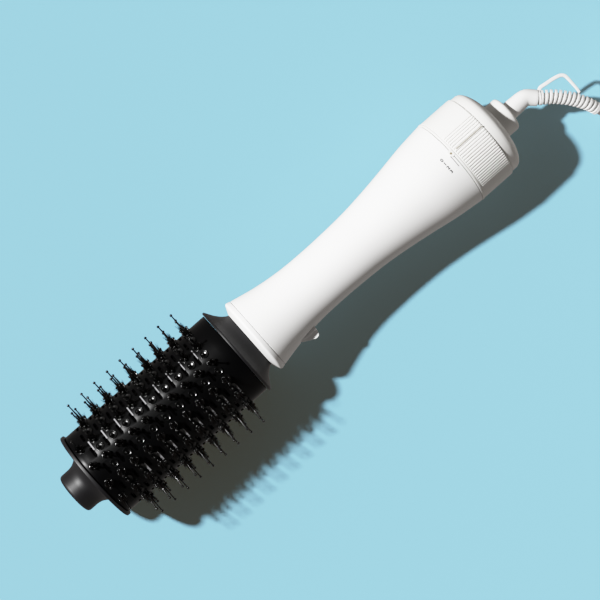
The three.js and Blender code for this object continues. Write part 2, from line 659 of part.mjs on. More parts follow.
/** The cord's stretch from the strain relief to the outside of its coil, straight at first. */
function cordLead(start, next) {
  const route = LEAD_ROUTE.map(([x, y, z]) => [COIL_CENTRE.x + x, COIL_CENTRE.y + y, z]);
  const curve = smooth([start.toArray(), next.toArray(), ...route]);
  return mesh('cord_lead', tubeAlong(curve, CORD_DIAMETER / 2, 8, 7), CORD_WHITE);
}

/** A point of the tail at an angle round its bend, over the top of the coil, and at a height. */
function tailPoint(turn, z) {
  const bendCentre = COIL_MEAN_RADIUS + CORD_DIAMETER - TAIL_RADIUS;
  return new THREE.Vector3(
    COIL_CENTRE.x + bendCentre * Math.cos(TAIL_START) + TAIL_RADIUS * Math.cos(TAIL_START + turn),
    COIL_CENTRE.y + bendCentre * Math.sin(TAIL_START) + TAIL_RADIUS * Math.sin(TAIL_START + turn),
    z,
  );
}

const COIL_TOP = COIL_LIFT + COIL_HEIGHT;
const PLUG_AXIS_HEIGHT = COIL_TOP + GAP + PLUG_THICKNESS / 2;

/** The last stretch, which lies on the coil and ends in the plug. */
function cordTail() {
  const low = COIL_TOP + GAP + CORD_DIAMETER / 2;
  const bend = [0.58, 0.7, 0.82, 0.97].map((part) => {
    const rise = THREE.MathUtils.smoothstep(part, 0.5, 0.9);
    return tailPoint(part * TAIL_TURN, THREE.MathUtils.lerp(low, PLUG_AXIS_HEIGHT, rise));
  });
  const curve = new THREE.CatmullRomCurve3(bend);
  return mesh('cord_tail', tubeAlong(curve, CORD_DIAMETER / 2, 8, 4), CORD_WHITE);
}

function cordCoil() {
  const inner = COIL_MEAN_RADIUS - COIL_WIDTH / 2;
  const outer = COIL_MEAN_RADIUS + COIL_WIDTH / 2;
  const round = 3;
  const outline = [
    [inner, round], [inner + round, 0], [outer - round, 0], [outer, round],
    [outer, COIL_HEIGHT - round], [outer - round, COIL_HEIGHT], [inner + round, COIL_HEIGHT],
    [inner, COIL_HEIGHT - round], [inner, round],
  ].map(([r, z]) => new THREE.Vector2(r, z));
  const geometry = new THREE.LatheGeometry(outline, 28).rotateX(Math.PI / 2);
  const result = mesh('cord_coil', solid(geometry), CORD_WHITE);
  result.position.set(COIL_CENTRE.x, COIL_CENTRE.y, COIL_LIFT);
  return result;
}

/** A flat band round the turns, on the side of the coil away from the plug. */
function coilTie() {
  const half = [COIL_WIDTH / 2 + 2 * GAP, COIL_HEIGHT / 2 + GAP];
  const thick = COIL_LIFT - GAP - 0.1;
  const outside = box([-half[0] - thick, -4, -half[1] - thick], [half[0] + thick, 4, half[1] + thick]);
  const inside = box([-half[0], -5, -half[1]], [half[0], 5, half[1]]);
  const band = mesh('coil_tie', cut(outside, inside), TIE_BLACK);
  band.position.set(COIL_MEAN_RADIUS, 0, COIL_LIFT + COIL_HEIGHT / 2);
  const group = new THREE.Group();
  group.add(band);
  group.rotation.z = TAIL_START - Math.PI / 2;
  group.position.set(COIL_CENTRE.x, COIL_CENTRE.y, 0);
  return group;
}

/** The plug and its two flat pins, on top of the coil; X runs from the cord's end to the pins' ends. */
function plug() {
  const side = [[0, 3.9], [11, 4.6], [16, 10], [19, 11.6], [PLUG_LENGTH - 2, 11.6], [PLUG_LENGTH, 10.4]];
  const mirrored = side.map(([x, y]) => [x, -y]).reverse();
  const outline = new THREE.Shape([...side, ...mirrored].map(([x, y]) => new THREE.Vector2(x, y)));
  const half = PLUG_THICKNESS / 2;
  const block = new THREE.ExtrudeGeometry(outline, { depth: PLUG_THICKNESS, bevelEnabled: false });
  const body = solid(block.translate(0, 0, -half));
  const pinSides = [-6.35, 6.35];
  const sockets = pinSides.map((y) => box([PLUG_LENGTH - 1, y - 3.5, -1.1], [PLUG_LENGTH + 2, y + 3.5, 1.1]));
  const group = new THREE.Group();
  group.add(mesh('plug_body', cut(body, ...sockets), CORD_WHITE));
  pinSides.forEach((y, i) => {
    const pin = box([PLUG_LENGTH - 0.7, y - 3.1, -0.75], [PLUG_LENGTH + 16, y + 3.1, 0.75]);
    group.add(mesh(`plug_pin_${i + 1}`, pin, BRASS));
  });
  group.rotation.z = TAIL_START + TAIL_TURN + Math.PI / 2;
  group.position.copy(tailPoint(TAIL_TURN, PLUG_AXIS_HEIGHT));
  group.translateX(GAP);
  return group;
}

// ---------------------------------------------------------------- assembly

function brush() {
  const group = new THREE.Group();
  group.add(brushHead());
  group.add(handleHalf('handle_upper', true), handleHalf('handle_lower', false), frontCollar());
  group.add(outletTube(), releaseButton(), buttonSpring(), heater());
  group.add(fanDuct(), motorCan(), motorEndBell(), fan(), circuitBoard());
  group.add(rearHousing(), dialRing(), slideSwitch(), switchSlider(), rearCap(), intakeFilter());
  group.add(capScrew('cap_screw_1', 0), capScrew('cap_screw_2', 180), swivelSocket(), contactHolder());
  group.add(swivelElbow(), swivelClip(), slipContact(), strainRelief(), hangLoop());
  return group;
}

/** Lays the brush on its lowest bristle tips and its dial, with its box's bottom centre at the origin. */
function laidDown(group) {
  const lastStation = FIRST_STATION + (STATIONS - 1) * STATION_PITCH;
  const lowestRow = Math.floor(ROW_COUNT * 0.75);
  const tip = new THREE.Vector3(lastStation, 0, PIN_LENGTH).applyMatrix4(surfaceFrame(rowAngle(lowestRow)));
  const dialDrop = -tip.z - DIAL_RADIUS + DIAL_ROUNDING;
  group.rotation.y = Math.atan2(dialDrop, DIAL_REAR - tip.x);
  const extent = new THREE.Box3().setFromObject(group, true);
  const middle = extent.getCenter(new THREE.Vector3());
  group.position.set(-middle.x, -middle.y, -extent.min.z);
  group.updateMatrixWorld(true);
  return group;
}

const laidBrush = laidDown(brush());
/** A point straight on from the strain relief's end, on the ground's axes. */
const beyondRelief = (distance) => laidBrush.localToWorld(
  RELIEF_PATH.getPointAt(1).addScaledVector(RELIEF_PATH.getTangentAt(1), distance),
);
const hotAirBrush = new THREE.Group();
hotAirBrush.add(laidBrush);
hotAirBrush.add(cordLead(beyondRelief(GAP), beyondRelief(5)), cordCoil(), coilTie(), cordTail(), plug());

export default hotAirBrush;
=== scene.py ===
import json
import math
import random

import bmesh
import bpy
from mathutils import Matrix, Vector


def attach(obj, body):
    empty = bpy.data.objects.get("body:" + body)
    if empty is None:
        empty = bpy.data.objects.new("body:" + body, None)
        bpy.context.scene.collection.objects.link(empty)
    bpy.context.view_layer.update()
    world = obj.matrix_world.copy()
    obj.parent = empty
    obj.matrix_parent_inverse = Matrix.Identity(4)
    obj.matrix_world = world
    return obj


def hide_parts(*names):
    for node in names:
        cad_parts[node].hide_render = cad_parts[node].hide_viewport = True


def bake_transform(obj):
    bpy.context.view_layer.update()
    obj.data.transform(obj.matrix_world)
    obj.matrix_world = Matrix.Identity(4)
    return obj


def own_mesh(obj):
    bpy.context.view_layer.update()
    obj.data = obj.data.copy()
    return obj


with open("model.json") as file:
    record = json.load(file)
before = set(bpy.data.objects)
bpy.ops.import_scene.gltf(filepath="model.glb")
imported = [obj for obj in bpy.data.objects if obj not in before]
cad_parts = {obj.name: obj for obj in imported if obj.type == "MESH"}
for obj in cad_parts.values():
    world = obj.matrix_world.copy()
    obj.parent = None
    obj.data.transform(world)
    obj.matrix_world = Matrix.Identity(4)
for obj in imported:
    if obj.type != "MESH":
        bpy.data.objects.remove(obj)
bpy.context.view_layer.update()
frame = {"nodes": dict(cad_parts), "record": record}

DICE = random.Random(11)
NODES = frame["nodes"]

# -------------------- dimensions, in millimetres
# X runs along the brush's axis from the cool tip to the cord, as in the CAD model before it is laid down.

BARREL_FRONT, BARREL_REAR = -175.5, -54.9
HALF_WIDTH, HALF_HEIGHT, WALL = 31.8, 27.4, 2.8
OVAL = HALF_HEIGHT / HALF_WIDTH
FLANGE_RADIUS = 33.7
TIP_END, TIP_RADIUS = -195.9, 14.7
ROWS, PITCH, STATIONS, FIRST_STATION = 14, 11.11, 9, -159.5
ROW_TURN = math.radians(3)
GAP_SHARE = 0.66  # of the step between two rows, the part that the slots' cells take
PIN_LENGTH, PIN_RADIUS = 15.4, 0.52
SHORT_PIN, SHORT_PIN_RADIUS = 3.3, 0.45
PIN_BALL, GAP_BALL, PIN_SIDES = 0.95, 1.0, 8
HAIRS = 56  # in each tuft
SLOT_HALF = (0.9, 3.8)  # along and around the barrel
NECK_RADIUS, NECK_REAR, NECK_BORE = 17.4, -12.0, 16.2
HANDLE_FRONT, HANDLE_REAR = -35.4, 134.7
HANDLE_RADII = (27.4, 23.58, 21.4, 20.88, 21.23, 22.19, 24.3, 27.1, 30.2, 32.3)
HANDLE_WALL = 1.9
LIP_PITCH = 11.04
WINDOW_FRONT, WINDOW_REAR, WINDOW_HALF, WINDOW_GAP = -18.2, -4.2, 6.2, 0.4
NUB_HALF, BUTTON_TRAVEL = 2.2, 2.2
DIAL_FRONT, DIAL_REAR, DIAL_RADIUS, DIAL_BORE = 135.0, 161.6, 32.4, 29.2
RIB_COUNT, RIB_PITCH, FIRST_RIB = 23, 3.4, -27.0
CAP_END = 173.6
SOCKET_REAR, SOCKET_RADIUS = 185.9, 12.7
ELBOW_PATH = ((186, 0, 0), (193, 0, 0), (199, 0, 0), (201.3, -0.4, 0), (203.2, -1.6, 0), (207.7, -5.9, 0))
RELIEF_PATH = (
    (207.95, -6.1, 0), (216.2, -12.2, -0.3), (222, -18, -0.9), (227, -24.2, -2.2), (231.2, -30.8, -4),
    (234.9, -38, -7.3),
)
LOOP_PATH = (
    (211.6, -2.9, 0), (213.6, -1.9, 0), (217.9, -2.4, 0), (224.5, -3.3, -0.1), (229.3, -4.7, -0.3),
    (231.3, -6.7, -0.4), (231.8, -10, -0.6), (231.9, -14, -0.9), (231.9, -19.4, -1.3), (231.6, -21.6, -1.6),
)
RIB_WAVE = 3.0  # length of one turn of the strain relief's rib

CORD_DIAMETER = 6.5
COIL_CENTRE = (270.5, -63.0)
COIL_MEAN_RADIUS, COIL_LIFT = 32.5, 1.2
LAYERS, TURNS_IN_LAYER = 4, 3
TAIL_START, TAIL_TURN, TAIL_RADIUS = math.radians(60), math.radians(120), 26.0
PLUG_LENGTH, PLUG_THICKNESS = 34.0, 12.0
LEAD_ROUTE = (
    (-51.7, 14.5, 14.3), (-51, 6, 9.2), (-50.2, -3, 5.4), (-47.9, -12.5, 3.7), (-43.3, -22, 3.4),
    (-36, -30.8, 3.4), (-26.5, -38, 3.4), (-14.2, -43.6, 3.4),
)

# The brush's place on the ground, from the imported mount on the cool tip's end
mount = frame["record"]["mounts"][0]
tilt = math.atan2(mount["axis"][2], -mount["axis"][0])
turn = Matrix.Rotation(tilt, 4, "Y")
place = Vector(mount["pos_m"]) - turn @ Vector((TIP_END / 1000, 0, 0))
LAY = Matrix.Translation(place) @ turn @ Matrix.Scale(0.001, 4)
GROUND = Matrix.Scale(0.001, 4)

# -------------------- materials


def new_material(name):
    material = bpy.data.materials.new(name)
    material.use_nodes = True
    tree = material.node_tree
    return material, tree, tree.nodes["Principled BSDF"]


def node(tree, kind, **inputs):
    made = tree.nodes.new(kind)
    for key, value in inputs.items():
        made.inputs[key.replace("_", " ")].default_value = value
    return made


def noise(tree, coords, scale, detail=3.0, stretch=None):
    """A noise texture on the object's own coordinates, in features per metre."""
    made = node(tree, "ShaderNodeTexNoise", Scale=scale, Detail=detail)
    source = coords.outputs["Object"]
    if stretch:
        mapping = node(tree, "ShaderNodeMapping")
        mapping.inputs["Scale"].default_value = stretch
        tree.links.new(source, mapping.inputs["Vector"])
        source = mapping.outputs["Vector"]
    tree.links.new(source, made.inputs["Vector"])
    return made.outputs["Fac"]


def spread(tree, value, low, high):
    made = node(tree, "ShaderNodeMapRange")
    made.inputs["From Min"].default_value = 0.3
    made.inputs["From Max"].default_value = 0.7
    made.inputs["To Min"].default_value = low
    made.inputs["To Max"].default_value = high
    tree.links.new(value, made.inputs["Value"])
    return made.outputs["Result"]


def moulded(name, color, roughness, grain, bump, vary, rough_vary, metal=0.0, mottling=40.0, stretch=None,
            specular=0.5, sheen=0.0):
    """A moulded or drawn surface: slow colour and gloss variation with a fine grain in its bump."""
    material, tree, shader = new_material(name)
    coords = node(tree, "ShaderNodeTexCoord")
    slow = noise(tree, coords, mottling, 4.0)
    fine = noise(tree, coords, grain, 2.0, stretch)
    mix = node(tree, "ShaderNodeMix")
    mix.data_type = "RGBA"
    for item in mix.inputs:
        if item.type == "RGBA" and item.name == "A":
            item.default_value = (*[c * (1 - vary) for c in color], 1)
        if item.type == "RGBA" and item.name == "B":
            item.default_value = (*[min(1.0, c * (1 + vary)) for c in color], 1)
    tree.links.new(spread(tree, slow, 0.0, 1.0), mix.inputs["Factor"])
    colour_out = [item for item in mix.outputs if item.type == "RGBA"][0]
    tree.links.new(colour_out, shader.inputs["Base Color"])
    uneven = spread(tree, slow, roughness - rough_vary, roughness + rough_vary)
    tree.links.new(uneven, shader.inputs["Roughness"])
    lift = node(tree, "ShaderNodeBump", Strength=bump, Distance=0.0002)
    tree.links.new(fine, lift.inputs["Height"])
    tree.links.new(lift.outputs["Normal"], shader.inputs["Normal"])
    shader.inputs["Metallic"].default_value = metal
    shader.inputs["Specular IOR Level"].default_value = specular
    shader.inputs["Sheen Weight"].default_value = sheen
    return material


HANDLE_WHITE = moulded("handle_white", (0.80, 0.80, 0.795), 0.55, 2600, 0.05, 0.008, 0.03, specular=0.2)
DIAL_WHITE = moulded("dial_white", (0.78, 0.775, 0.755), 0.6, 2200, 0.08, 0.012, 0.04, specular=0.2)
CORD_WHITE = moulded("cord_white", (0.80, 0.80, 0.79), 0.6, 1800, 0.1, 0.02, 0.05, specular=0.25)
BARREL_GLOSS = moulded("barrel_gloss", (0.0010, 0.0010, 0.0011), 0.3, 900, 0.02, 0.1, 0.03, specular=0.07)
# Pale grey for the vent lips: a painted highlight, the glints along the vents' edges.
LIP_PAINTED_GLINT = moulded("lip_painted_glint", (0.25, 0.25, 0.26), 0.3, 1500, 0.03, 0.1, 0.04)
CHARCOAL = moulded("charcoal", (0.0038, 0.0036, 0.0042), 0.45, 2400, 0.12, 0.05, 0.05, specular=0.34)
PIN_BLACK = moulded("pin_black", (0.0010, 0.0010, 0.0010), 0.2, 1200, 0.03, 0.1, 0.03, specular=0.4)
BOAR = moulded(
    "boar_bristle", (0.003, 0.0022, 0.0018), 0.4, 3000, 0.1, 0.5, 0.08, mottling=900, specular=0.25,
)
INNER = moulded("inner_black", (0.022, 0.022, 0.024), 0.55, 1800, 0.2, 0.08, 0.06)
PAD_PRINT = moulded("pad_print", (0.004, 0.004, 0.005), 0.5, 2600, 0.05, 0.05, 0.03)
TAN_PRINT = moulded("tan_mark", (0.22, 0.18, 0.11), 0.5, 2600, 0.05, 0.05, 0.03)
MICA = moulded("mica", (0.42, 0.34, 0.22), 0.4, 700, 0.3, 0.22, 0.15, mottling=300, stretch=(1, 1, 0.2))
HEATER_WIRE = moulded("heater_wire", (0.36, 0.33, 0.30), 0.4, 2000, 0.2, 0.2, 0.1, metal=1, mottling=200)
STEEL = moulded("steel", (0.60, 0.61, 0.63), 0.3, 1800, 0.12, 0.06, 0.08, metal=1, stretch=(0.08, 1, 1))
BRASS = moulded("brass", (0.72, 0.53, 0.26), 0.3, 1800, 0.1, 0.08, 0.08, metal=1, mottling=120)
BOARD = moulded("board", (0.035, 0.17, 0.06), 0.35, 1200, 0.1, 0.2, 0.08, mottling=250)
TIE_CLOTH = moulded(
    "tie_cloth", (0.02, 0.02, 0.023), 0.85, 1400, 0.8, 0.3, 0.05, sheen=0.4, stretch=(1, 1, 3),
)


def put_material(thing, material):
    thing.data.materials.clear()
    thing.data.materials.append(material)


CARRIED = {
    "outlet_tube": INNER, "heater_sleeve": MICA, "heater_plate_flat": MICA, "heater_plate_upright": MICA,
    "heater_coil": HEATER_WIRE, "thermostat": STEEL, "thermal_fuse": STEEL, "fan_duct": INNER,
    "motor_can": STEEL, "motor_end_bell": INNER, "circuit_board": BOARD, "rear_housing": INNER,
    "slide_switch": INNER,
    "switch_slider": HANDLE_WHITE, "intake_filter": INNER, "cap_screw_1": STEEL, "cap_screw_2": STEEL,
    "contact_holder": INNER, "button_spring": STEEL, "fan_impeller": INNER, "motor_shaft": STEEL,
    "swivel_clip": STEEL, "slip_contact": BRASS, "tip_screw": STEEL, "air_deflector": INNER,
    "plug_pin_1": BRASS, "plug_pin_2": BRASS,
}
for name, material in CARRIED.items():
    put_material(NODES[name], material)

# -------------------- curves and solids


def lerp(a, b, t):
    return a + (b - a) * t


def smoothstep(x, low, high):
    t = min(1.0, max(0.0, (x - low) / (high - low)))
    return t * t * (3 - 2 * t)


def smooth_line(points, steps, power=0.25):
    """Points along a smooth curve through the given points; power 0 spaces its knots evenly."""
    known = [Vector(p) for p in points]
    known = [2 * known[0] - known[1], *known, 2 * known[-1] - known[-2]]
    line = [known[1]]
    for i in range(1, len(known) - 2):
        a, b, c, d = known[i - 1:i + 3]
        t0, t1, t2 = (max((q - p).length_squared, 1e-12) ** power for p, q in ((a, b), (b, c), (c, d)))
        leave = ((b - a) / t0 - (c - a) / (t0 + t1) + (c - b) / t1) * t1
        arrive = ((c - b) / t1 - (d - b) / (t1 + t2) + (d - c) / t2) * t1
        for k in range(1, steps + 1):
            t = k / steps
            line.append(
                b * (2 * t**3 - 3 * t**2 + 1) + leave * (t**3 - 2 * t**2 + t)
                + c * (3 * t**2 - 2 * t**3) + arrive * (t**3 - t**2)
            )
    return line


def rounded(outline, radius, steps=4):
    """A closed outline with its corners rounded; radius is one number, or one for each corner."""
    radii = radius if isinstance(radius, (list, tuple)) else [radius] * len(outline)
    result = []
    for i, corner in enumerate(outline):
        here = Vector(corner)
        before, after = Vector(outline[i - 1]) - here, Vector(outline[(i + 1) % len(outline)]) - here
        cut = min(radii[i], before.length * 0.45, after.length * 0.45)
        if cut < 1e-4:
            result.append(tuple(here))
            continue
        start, end = here + before.normalized() * cut, here + after.normalized() * cut
        for k in range(steps + 1):
            t = k / steps
            result.append(tuple(start * (1 - t) ** 2 + here * 2 * t * (1 - t) + end * t**2))
    return result


def revolve(outline, sides, start=0.0, end=360.0, shape=None, angles=None):
    """A closed outline of (x, radius) points turned about X from +Y towards +Z; shape moves each point."""
    whole = angles is None and abs(end - start - 360) < 1e-6
    if angles is None:
        count = sides if whole else sides + 1
        angles = [math.radians(start + (end - start) * i / sides) for i in range(count)]
    elif abs(angles[-1] - angles[0] - 2 * math.pi) < 1e-6:
        angles, whole = angles[:-1], True
    verts = []
    for angle in angles:
        for x, r in outline:
            point = Vector((x, r * math.cos(angle), r * math.sin(angle)))
            verts.append(shape(point, angle, r) if shape else point)
    size, faces = len(outline), []
    for i in range(len(angles) if whole else len(angles) - 1):
        for k in range(size):
            a, b = i * size, ((i + 1) % len(angles)) * size
            faces.append((a + k, a + (k + 1) % size, b + (k + 1) % size, b + k))
    if not whole:
        faces.append(tuple(range(size)))
        faces.append(tuple(range((len(angles) - 1) * size, len(angles) * size))[::-1])
    return verts, faces


def pressed(oval_until, round_from):
    """The barrel's oval in front, and round behind."""
    def shape(point, angle, r):
        roundness = smoothstep(point.x, oval_until, round_from)
        return Vector((point.x, point.y, point.z * lerp(OVAL, 1, roundness)))
    return shape


class Path:
    """A curve with a steady frame along it, for bending and sweeping."""

    def __init__(self, line):
        self.line = [Vector(p) for p in line]
        self.reach = [0.0]
        for a, b in zip(self.line, self.line[1:]):
            self.reach.append(self.reach[-1] + (b - a).length)
        self.length = self.reach[-1]

    def at(self, distance):
        distance = min(max(distance, 0.0), self.length)
        i = 0
        while i < len(self.line) - 2 and self.reach[i + 1] < distance:
            i += 1
        span = self.reach[i + 1] - self.reach[i]
        t = (distance - self.reach[i]) / span
        before = self.line[max(i - 1, 0)]
        after = self.line[min(i + 2, len(self.line) - 1)]
        here, there = self.line[i], self.line[i + 1]
        tangent = ((there - before).normalized() * (1 - t) + (after - here).normalized() * t).normalized()
        return here.lerp(there, t), tangent

    def bend(self, verts):
        bent = []
        for v in verts:
            point, tangent = self.at(v.x)
            side = Vector((0, 0, 1)).cross(tangent).normalized()
            bent.append(point + side * v.y + tangent.cross(side) * v.z)
        return bent


def make(name, verts, faces, material, body=None, slot=None, replaces=(), lay=LAY, crease=38):
    """A finished piece from vertices in millimetres: merged, facing out, smooth but for its sharp edges."""
    mesh = bpy.data.meshes.new(name)
    mesh.from_pydata([tuple(lay @ Vector(v)) for v in verts], [], faces)
    work = bmesh.new()
    work.from_mesh(mesh)
    bmesh.ops.remove_doubles(work, verts=work.verts, dist=2e-6)
    bmesh.ops.dissolve_degenerate(work, dist=1e-6, edges=work.edges)
    bmesh.ops.recalc_face_normals(work, faces=work.faces)
    work.to_mesh(mesh)
    work.free()
    thing = bpy.data.objects.new(name, mesh)
    bpy.context.scene.collection.objects.link(thing)
    finish_surface(thing, crease)
    put_material(thing, material)
    if body:
        settle(thing, body, slot, replaces)
    return thing


def finish_surface(thing, crease=38):
    thing.data.shade_smooth()
    thing.data.set_sharp_from_angle(angle=math.radians(crease))


def settle(thing, body, slot, replaces=()):
    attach(thing, body)
    if replaces:
        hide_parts(*replaces)


def applied(thing):
    """Puts the result of a piece's modifiers into its mesh."""
    graph = bpy.context.evaluated_depsgraph_get()
    fresh = bpy.data.meshes.new_from_object(thing.evaluated_get(graph))
    thing.modifiers.clear()
    old = thing.data
    thing.data = fresh
    bpy.data.meshes.remove(old)


def carve(thing, verts, faces, lay=LAY, crease=38):
    """Cuts a closed tool out of a piece."""
    tool = make("tool", verts, faces, INNER, lay=lay)
    modifier = thing.modifiers.new("cut", "BOOLEAN")
    modifier.operation, modifier.solver, modifier.object = "DIFFERENCE", "EXACT", tool
    applied(thing)
    bpy.data.objects.remove(tool)
    finish_surface(thing, crease)


def bevelled(thing, width, segments=3, crease=38):
    modifier = thing.modifiers.new("edges", "BEVEL")
    modifier.width, modifier.segments, modifier.limit_method = width / 1000, segments, "ANGLE"
    modifier.angle_limit = math.radians(30)
    applied(thing)
    finish_surface(thing, crease)


def joined(*shapes):
    """Several vertex and face lists as one."""
    verts, faces = [], []
    for v, f in shapes:
        base = len(verts)
        verts.extend(v)
        faces.extend(tuple(base + i for i in face) for face in f)
    return verts, faces


def prism(outline, low, high, axis="z"):
    """An outline of (x, y) points drawn out between two heights."""
    count = len(outline)
    order = {"z": lambda x, y, h: (x, y, h), "x": lambda x, y, h: (h, x, y)}[axis]
    verts = [Vector(order(x, y, h)) for h in (low, high) for x, y in outline]
    faces = [(i, (i + 1) % count, count + (i + 1) % count, count + i) for i in range(count)]
    return verts, faces + [tuple(range(count))[::-1], tuple(range(count, 2 * count))]


def slab(low, high):
    (x0, y0, z0), (x1, y1, z1) = low, high
    return prism([(x0, y0), (x1, y0), (x1, y1), (x0, y1)], z0, z1)


def moved(shape, matrix):
    return [matrix @ Vector(v) for v in shape[0]], shape[1]


def about_x(degrees):
    return Matrix.Rotation(math.radians(degrees), 4, "X")


# -------------------- the barrel and its bristles


def row_angle(row):
    """The angle of a bristle row round the oval; a row half-way between two is a gap."""
    return 2 * math.pi * row / ROWS + ROW_TURN


def on_barrel(angle, height=0.0):
    """A point at an angle round the oval from +Y to +Z, at a height over the surface, and its normal."""
    out = Vector((0, math.cos(angle) / HALF_WIDTH, math.sin(angle) / HALF_HEIGHT)).normalized()
    return Vector((0, HALF_WIDTH * math.cos(angle), HALF_HEIGHT * math.sin(angle))) + out * height, out


def row_frame(angle):
    """Local frame on the barrel: X along it, Z outwards."""
    point, out = on_barrel(angle)
    across = out.cross(Vector((1, 0, 0))).normalized()
    turned = Matrix(((1, across.x, out.x), (0, across.y, out.y), (0, across.z, out.z))).to_4x4()
    return Matrix.Translation(point) @ turned


def barrel_shell():
    """The oval tube, with a rounded slot between every two stations of each gap between bristle rows."""
    row_step = 2 * math.pi / ROWS
    half_gap = GAP_SHARE / 2 * row_step
    around, along = 8, 6
    verts, faces = [], []

    def patch(grid):
        base = len(verts)
        rows, columns = len(grid), len(grid[0])
        for line in grid:
            verts.extend(line)
        for i in range(rows - 1):
            for k in range(columns - 1):
                a = base + i * columns + k
                faces.append((a, a + 1, a + columns + 1, a + columns))

    def surface(x, angle, height):
        point, _ = on_barrel(angle, height)
        return Vector((x, point.y, point.z))

    def plain(x0, x1, a0, a1, steps_x, steps_a):
        for height in (0.0, -WALL):
            patch([
                [surface(lerp(x0, x1, i / steps_x), lerp(a0, a1, k / steps_a), height)
                 for k in range(steps_a + 1)]
                for i in range(steps_x + 1)
            ])

    def ring_of(x, half_x, half_a, corner):
        """Points round a rounded rectangle, in step with the cell's own edge points."""
        points = []
        for i in range(around):
            points.append((-1, -1 + 2 * i / around))
        for i in range(along):
            points.append((-1 + 2 * i / along, 1))
        for i in range(around):
            points.append((1, 1 - 2 * i / around))
        for i in range(along):
            points.append((1 - 2 * i / along, -1))
        result = []
        for u, v in points:
            px, pa = u * half_x, v * half_a
            if corner:
                excess = abs(pa) - (half_a - corner)
                if excess > 0:
                    reach = math.sqrt(max(0.0, 1 - (excess / corner) ** 2))
                    px = u * (half_x - corner + corner * reach)
            result.append((x + px, pa))
        return result

    def slot_cell(x, middle):
        scale = on_barrel(middle)[0].length
        span = half_gap * scale
        edge = ring_of(x, PITCH / 2, span, 0)
        half_x, half_a = SLOT_HALF
        rings = [(edge, 0.0)]
        for grow, height in ((0.35, 0.0), (0.12, -0.06), (0.0, -0.3), (0.0, -WALL)):
            rings.append((ring_of(x, half_x + grow, half_a + grow, half_x + grow), height))
        rings.append((edge, -WALL))
        base, size = len(verts), len(edge)
        for points, height in rings:
            verts.extend(surface(px, middle + pa / scale, height) for px, pa in points)
        for i in range(len(rings) - 1):
            for k in range(size):
                a, b = base + i * size + k, base + i * size + (k + 1) % size
                faces.append((a, b, b + size, a + size))

    front, rear = FIRST_STATION - PITCH, FIRST_STATION + (STATIONS - 1) * PITCH
    for row in range(ROWS):
        middle = row_angle(row + 0.5)
        a0, a1 = middle - half_gap, middle + half_gap
        a2 = middle + row_step - half_gap
        for x0, x1, steps in ((BARREL_FRONT + 0.4, front, 2), (rear, BARREL_REAR - 0.4, 2)):
            plain(x0, x1, a0, a1, steps, around)
            plain(x0, x1, a1, a2, steps, 4)
        for k in range(STATIONS):
            x = FIRST_STATION + (k - 0.5) * PITCH
            slot_cell(x, middle)
            plain(x - PITCH / 2, x + PITCH / 2, a1, a2, along, 4)
        for x0, x1 in ((BARREL_FRONT, BARREL_FRONT + 0.4), (BARREL_REAR, BARREL_REAR - 0.4)):
            lip = ((x1, 0.0), (lerp(x0, x1, 0.3), -0.1), (x0, -0.4), (x0, -WALL), (x1, -WALL))
            for low, high, steps in ((a0, a1, around), (a1, a2, 4)):
                patch([[surface(x, lerp(low, high, k / steps), h) for k in range(steps + 1)] for x, h in lip])
    return verts, faces


def ball_pin(x, y, height, radius, ball, lean_x, lean_y):
    """A round-tipped pin in a row's frame, leaning by a slope along X and Y."""
    foot = radius + 0.35
    outline = [(-0.6, 0), (-0.6, foot), (0.1, foot), (0.9, radius * 1.15)]
    neck = height - 1.7 * ball
    outline += [(neck, radius * 0.8)]
    for k in range(1, 7):
        turned = math.pi * (0.17 + 0.83 * k / 6)
        outline.append((height - ball - ball * math.cos(turned), ball * math.sin(turned)))
    outline[-1] = (height, 0)
    verts, faces = revolve(outline, PIN_SIDES)
    return [Vector((x + v.y + lean_x * v.x, y + v.z + lean_y * v.x, v.x)) for v in verts], faces


def socket_ring(x, y):
    """A low moulded cup round the foot of a short pin."""
    outline = rounded([
        (-0.4, 1.0), (-0.4, 2.75), (0.95, 2.65), (0.9, 2.45), (0.62, 1.8), (0.45, 1.0),
    ], [0, 0, 0.1, 0.1, 0.5, 0], 3)
    verts, faces = revolve(outline, 18)
    return [Vector((x + v.y, y + v.z, v.x)) for v in verts], faces


def hair(x, y, length, lean_x, lean_y, radius):
    """One tapering bristle with a slight bend."""
    sag = 0.18 * length
    verts, faces = [], []
    levels = ((0.0, 1.0), (0.55, 0.8), (1.0, 0.3))
    for part, width in levels:
        reach = part * length
        bend = sag * part * part * 0.6
        cx = x + lean_x * reach + math.copysign(bend, lean_x) * abs(lean_x)
        cy = y + lean_y * reach + math.copysign(bend, lean_y) * abs(lean_y)
        for k in range(3):
            a = 2 * math.pi * k / 3
            thick = radius * width
            verts.append(Vector((cx + thick * math.cos(a), cy + thick * math.sin(a), reach - 0.3)))
    for level in range(len(levels) - 1):
        for k in range(3):
            a, b = level * 3 + k, level * 3 + (k + 1) % 3
            faces.append((a, b, b + 3, a + 3))
    return verts, faces + [(2, 1, 0), (6, 7, 8)]


def tuft(x):
    """The boar bristles at one station, upright in the middle and fanned at the rim."""
    shapes = []
    for _ in range(HAIRS):
        angle, reach = DICE.uniform(0, 2 * math.pi), math.sqrt(DICE.random())
        px, py = 1.25 * reach * math.cos(angle), 1.05 * reach * math.sin(angle)
        length = DICE.uniform(5.6, 9.2) - 1.0 * reach
        lean = 0.05 + 0.14 * reach
        lean_x = lean * math.cos(angle) + DICE.gauss(0, 0.05)
        lean_y = lean * math.sin(angle) + DICE.gauss(0, 0.05)
        shapes.append(hair(x + px, py, length, lean_x, lean_y, DICE.uniform(0.11, 0.17)))
    return joined(*shapes)


def row_stations(row):
    """Where the tufts of a row stand; the rows near the top and the bottom have one more, at the front."""
    extra = 1 if abs(math.sin(row_angle(row))) > 0.65 else 0
    return [FIRST_STATION + (i - extra) * PITCH for i in range(STATIONS + extra)]


